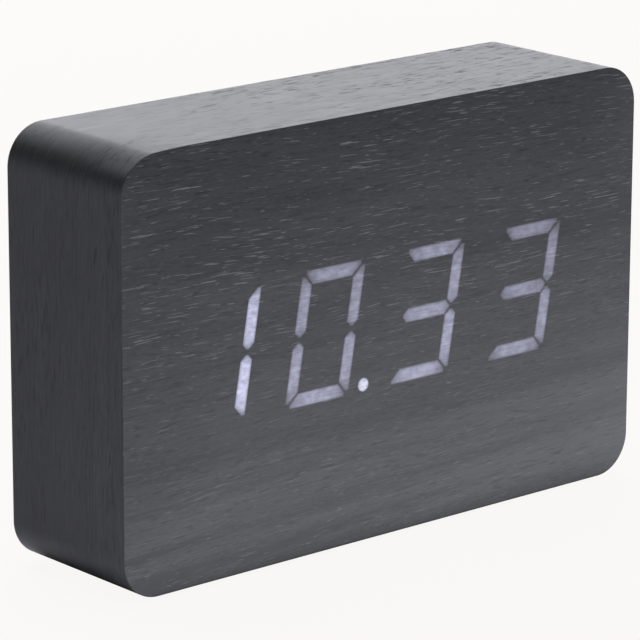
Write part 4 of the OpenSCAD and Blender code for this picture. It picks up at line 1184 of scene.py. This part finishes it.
# Pieces with a shape of their own in place of a solid
plain_veneer = veneer_material("stained_veneer", PLAIN_VENEER)
lit_veneer = veneer_material("lit_stained_veneer", LIT_VENEER, lit=True)
front_sheet(lit_veneer)
edge_band(plain_veneer)
rear_sheet(plain_veneer)
foot_pads(looks["foot_rubber"])
coil_springs(looks["bright_steel"])
for key, mark in (("set", "ring"), ("up", "up"), ("down", "down")):
    key_cap(f"{key}_button", f"{key}_key", mark, looks["button_black"])
REPLACED = ("front_veneer", "edge_veneer", "rear_veneer", "rubber_feet", "contact_springs",
            "set_button", "up_button", "down_button")

# Solids whose edges are rounded in the mesh, with the radius in millimetres
SOFT_EDGES = {
    "rear_panel": 0.15,
    "battery_door": 0.2,
    "panel_screws": 0.1,
    "slide_switch_lever": 0.15,
    "power_socket_shell": 0.06,
    "power_socket_tongue": 0.05,
    "thermistor": 0.03,
    "cell_1": 0.3,
    "cell_2": 0.3,
    "cell_3": 0.3,
    "cell_4": 0.3,
}

# The looks of all other solids
carried_by = {node: body for body, held in frame["record"]["behaviour"]["bodies"].items() for node in held}
for row in frame["record"]["subparts"]:
    node = row["node"]
    slot = row["material_slot"]
    if node in REPLACED:
        continue
    if node.startswith("cell_"):
        look = cell_material(f"sleeve_{node}", node)
    elif node.endswith("_chip"):
        look = chip_material(f"body_{node}", node)
    elif node == "panel_screws":
        look = screw_material("screw_heads", node, STEEL)
    else:
        look = looks[slot]
    if node in SOFT_EDGES:
        softened(node, SOFT_EDGES[node], look, carried_by[node])
        continue
    for place in nodes[node].material_slots:
        place.material = look


# Floor: its rings' radius and height in metres, turned up at the far rim
FLOOR_RINGS = ((0.6, 0.0), (5.0, 0.0), (5.5, 0.06), (5.85, 0.25), (6.0, 0.8))
FLOOR_STEPS = 64
FLOOR_COLOUR = (0.9, 0.9, 0.895)
FLOOR_ROUGH = 0.9

# The floor shows pale to the camera and in reflections, and the rest of it still takes the shadow
SHOWN_SHARE = 0.93
SHOWN_COLOUR = (1.0, 0.985, 0.967)
MIRRORED_COLOUR = (0.905, 0.905, 1.0)

# Close to the case the mirrored floor is the shadowed one, more so in front as the light comes from behind
SHADOW_INNER = -0.001
SHADOW_OUTER = 0.008
SHADOW_SKEW = 0.2


def floor_shape():
    points = []
    for radius, height in FLOOR_RINGS:
        points.extend((x, y, height) for x, y in round_loop(radius, FLOOR_STEPS))
    faces = [tuple(range(FLOOR_STEPS))]
    for ring in range(len(FLOOR_RINGS) - 1):
        for step in range(FLOOR_STEPS):
            first = ring * FLOOR_STEPS + step
            second = ring * FLOOR_STEPS + (step + 1) % FLOOR_STEPS
            faces.append((first, first + FLOOR_STEPS, second + FLOOR_STEPS, second))
    made = bpy.data.meshes.new("floor")
    made.from_pydata(points, [], faces)
    return made


# How clear of the case's shadow a point of the floor lies
def shadow_clear(tree):
    ground = add(tree, "ShaderNodeNewGeometry").outputs["Position"]
    depth = axis(tree, ground, "Y")
    past_side = calc(tree, "SUBTRACT", calc(tree, "ABSOLUTE", axis(tree, ground, "X")), cad_box[1][0])
    past_front = calc(tree, "SUBTRACT", calc(tree, "ABSOLUTE", depth), cad_box[1][1])
    beyond = plus(tree, calc(tree, "MAXIMUM", past_side, past_front), times(tree, depth, SHADOW_SKEW))
    return ramp(tree, beyond, SHADOW_INNER, SHADOW_OUTER)


def floor_look():
    made, tree, shader = start_material("pale_floor")
    shader.inputs["Base Color"].default_value = shade(FLOOR_COLOUR)
    shader.inputs["Roughness"].default_value = FLOOR_ROUGH
    shader.inputs["Specular IOR Level"].default_value = 0.0
    paths = add(tree, "ShaderNodeLightPath").outputs
    mirrored = calc(tree, "MAXIMUM", paths["Is Glossy Ray"], paths["Is Transmission Ray"])
    mirrored = times(tree, mirrored, shadow_clear(tree))
    seen = calc(tree, "MAXIMUM", paths["Is Camera Ray"], mirrored)
    pale = mixed(tree, paths["Is Camera Ray"], shade(MIRRORED_COLOUR), shade(SHOWN_COLOUR))
    glare = add(tree, "ShaderNodeEmission", {"Color": pale, "Strength": 1.0}).outputs[0]
    inputs = {0: times(tree, seen, SHOWN_SHARE), 1: shader.outputs[0], 2: glare}
    blended = add(tree, "ShaderNodeMixShader", inputs).outputs[0]
    tree.links.new(blended, tree.nodes["Material Output"].inputs["Surface"])
    return made


floor_mesh = floor_shape()
floor_mesh.materials.append(floor_look())
floor = bpy.data.objects.new("floor", floor_mesh)
scene.collection.objects.link(floor)


# World, an even dim light
WORLD_COLOUR = (0.925, 0.95, 1.0)
WORLD_STRENGTH = 0.03
world = bpy.data.worlds.new("studio")
world.use_nodes = True
scene.world = world
world.node_tree.nodes["Background"].inputs["Color"].default_value = shade(WORLD_COLOUR)
world.node_tree.nodes["Background"].inputs["Strength"].default_value = WORLD_STRENGTH


# Lamps: place, the point faced, width and height, all in metres, and watts
LAMP_COLOUR = (0.935, 0.95, 1.0)
LAMPS = {
    "overhead": ((0.0, 0.02, 0.6), (0.0, 0.02, 0.0), 0.5, 0.4, 1.05),
    "back_box": ((0.7, 1.13, 0.55), (0.0, 0.0, 0.08), 1.4, 0.9, 11.6),
    "back_top": ((-0.05, 0.85, 0.75), (0.0, 0.0, 0.08), 0.7, 0.5, 1.85),
    "front_far": ((0.1, -1.2, 0.9), (0.0, 0.0, 0.05), 0.8, 0.8, 2.6),
    "floor_card": ((0.02, -0.0905, 0.0005), (0.02, -0.0905, 1.0), 0.335, 0.14, 0.255),
}


def soft_lamp(name, at, target, width, height, watts):
    made = bpy.data.lights.new(name, "AREA")
    made.shape = "RECTANGLE"
    made.size = width
    made.size_y = height
    made.energy = watts
    made.color = LAMP_COLOUR
    lamp = bpy.data.objects.new(name, made)
    lamp.location = at
    lamp.rotation_euler = (Vector(target) - Vector(at)).to_track_quat("-Z", "Y").to_euler()
    lamp.visible_camera = False
    scene.collection.objects.link(lamp)


for name, row in LAMPS.items():
    soft_lamp(name, *row)
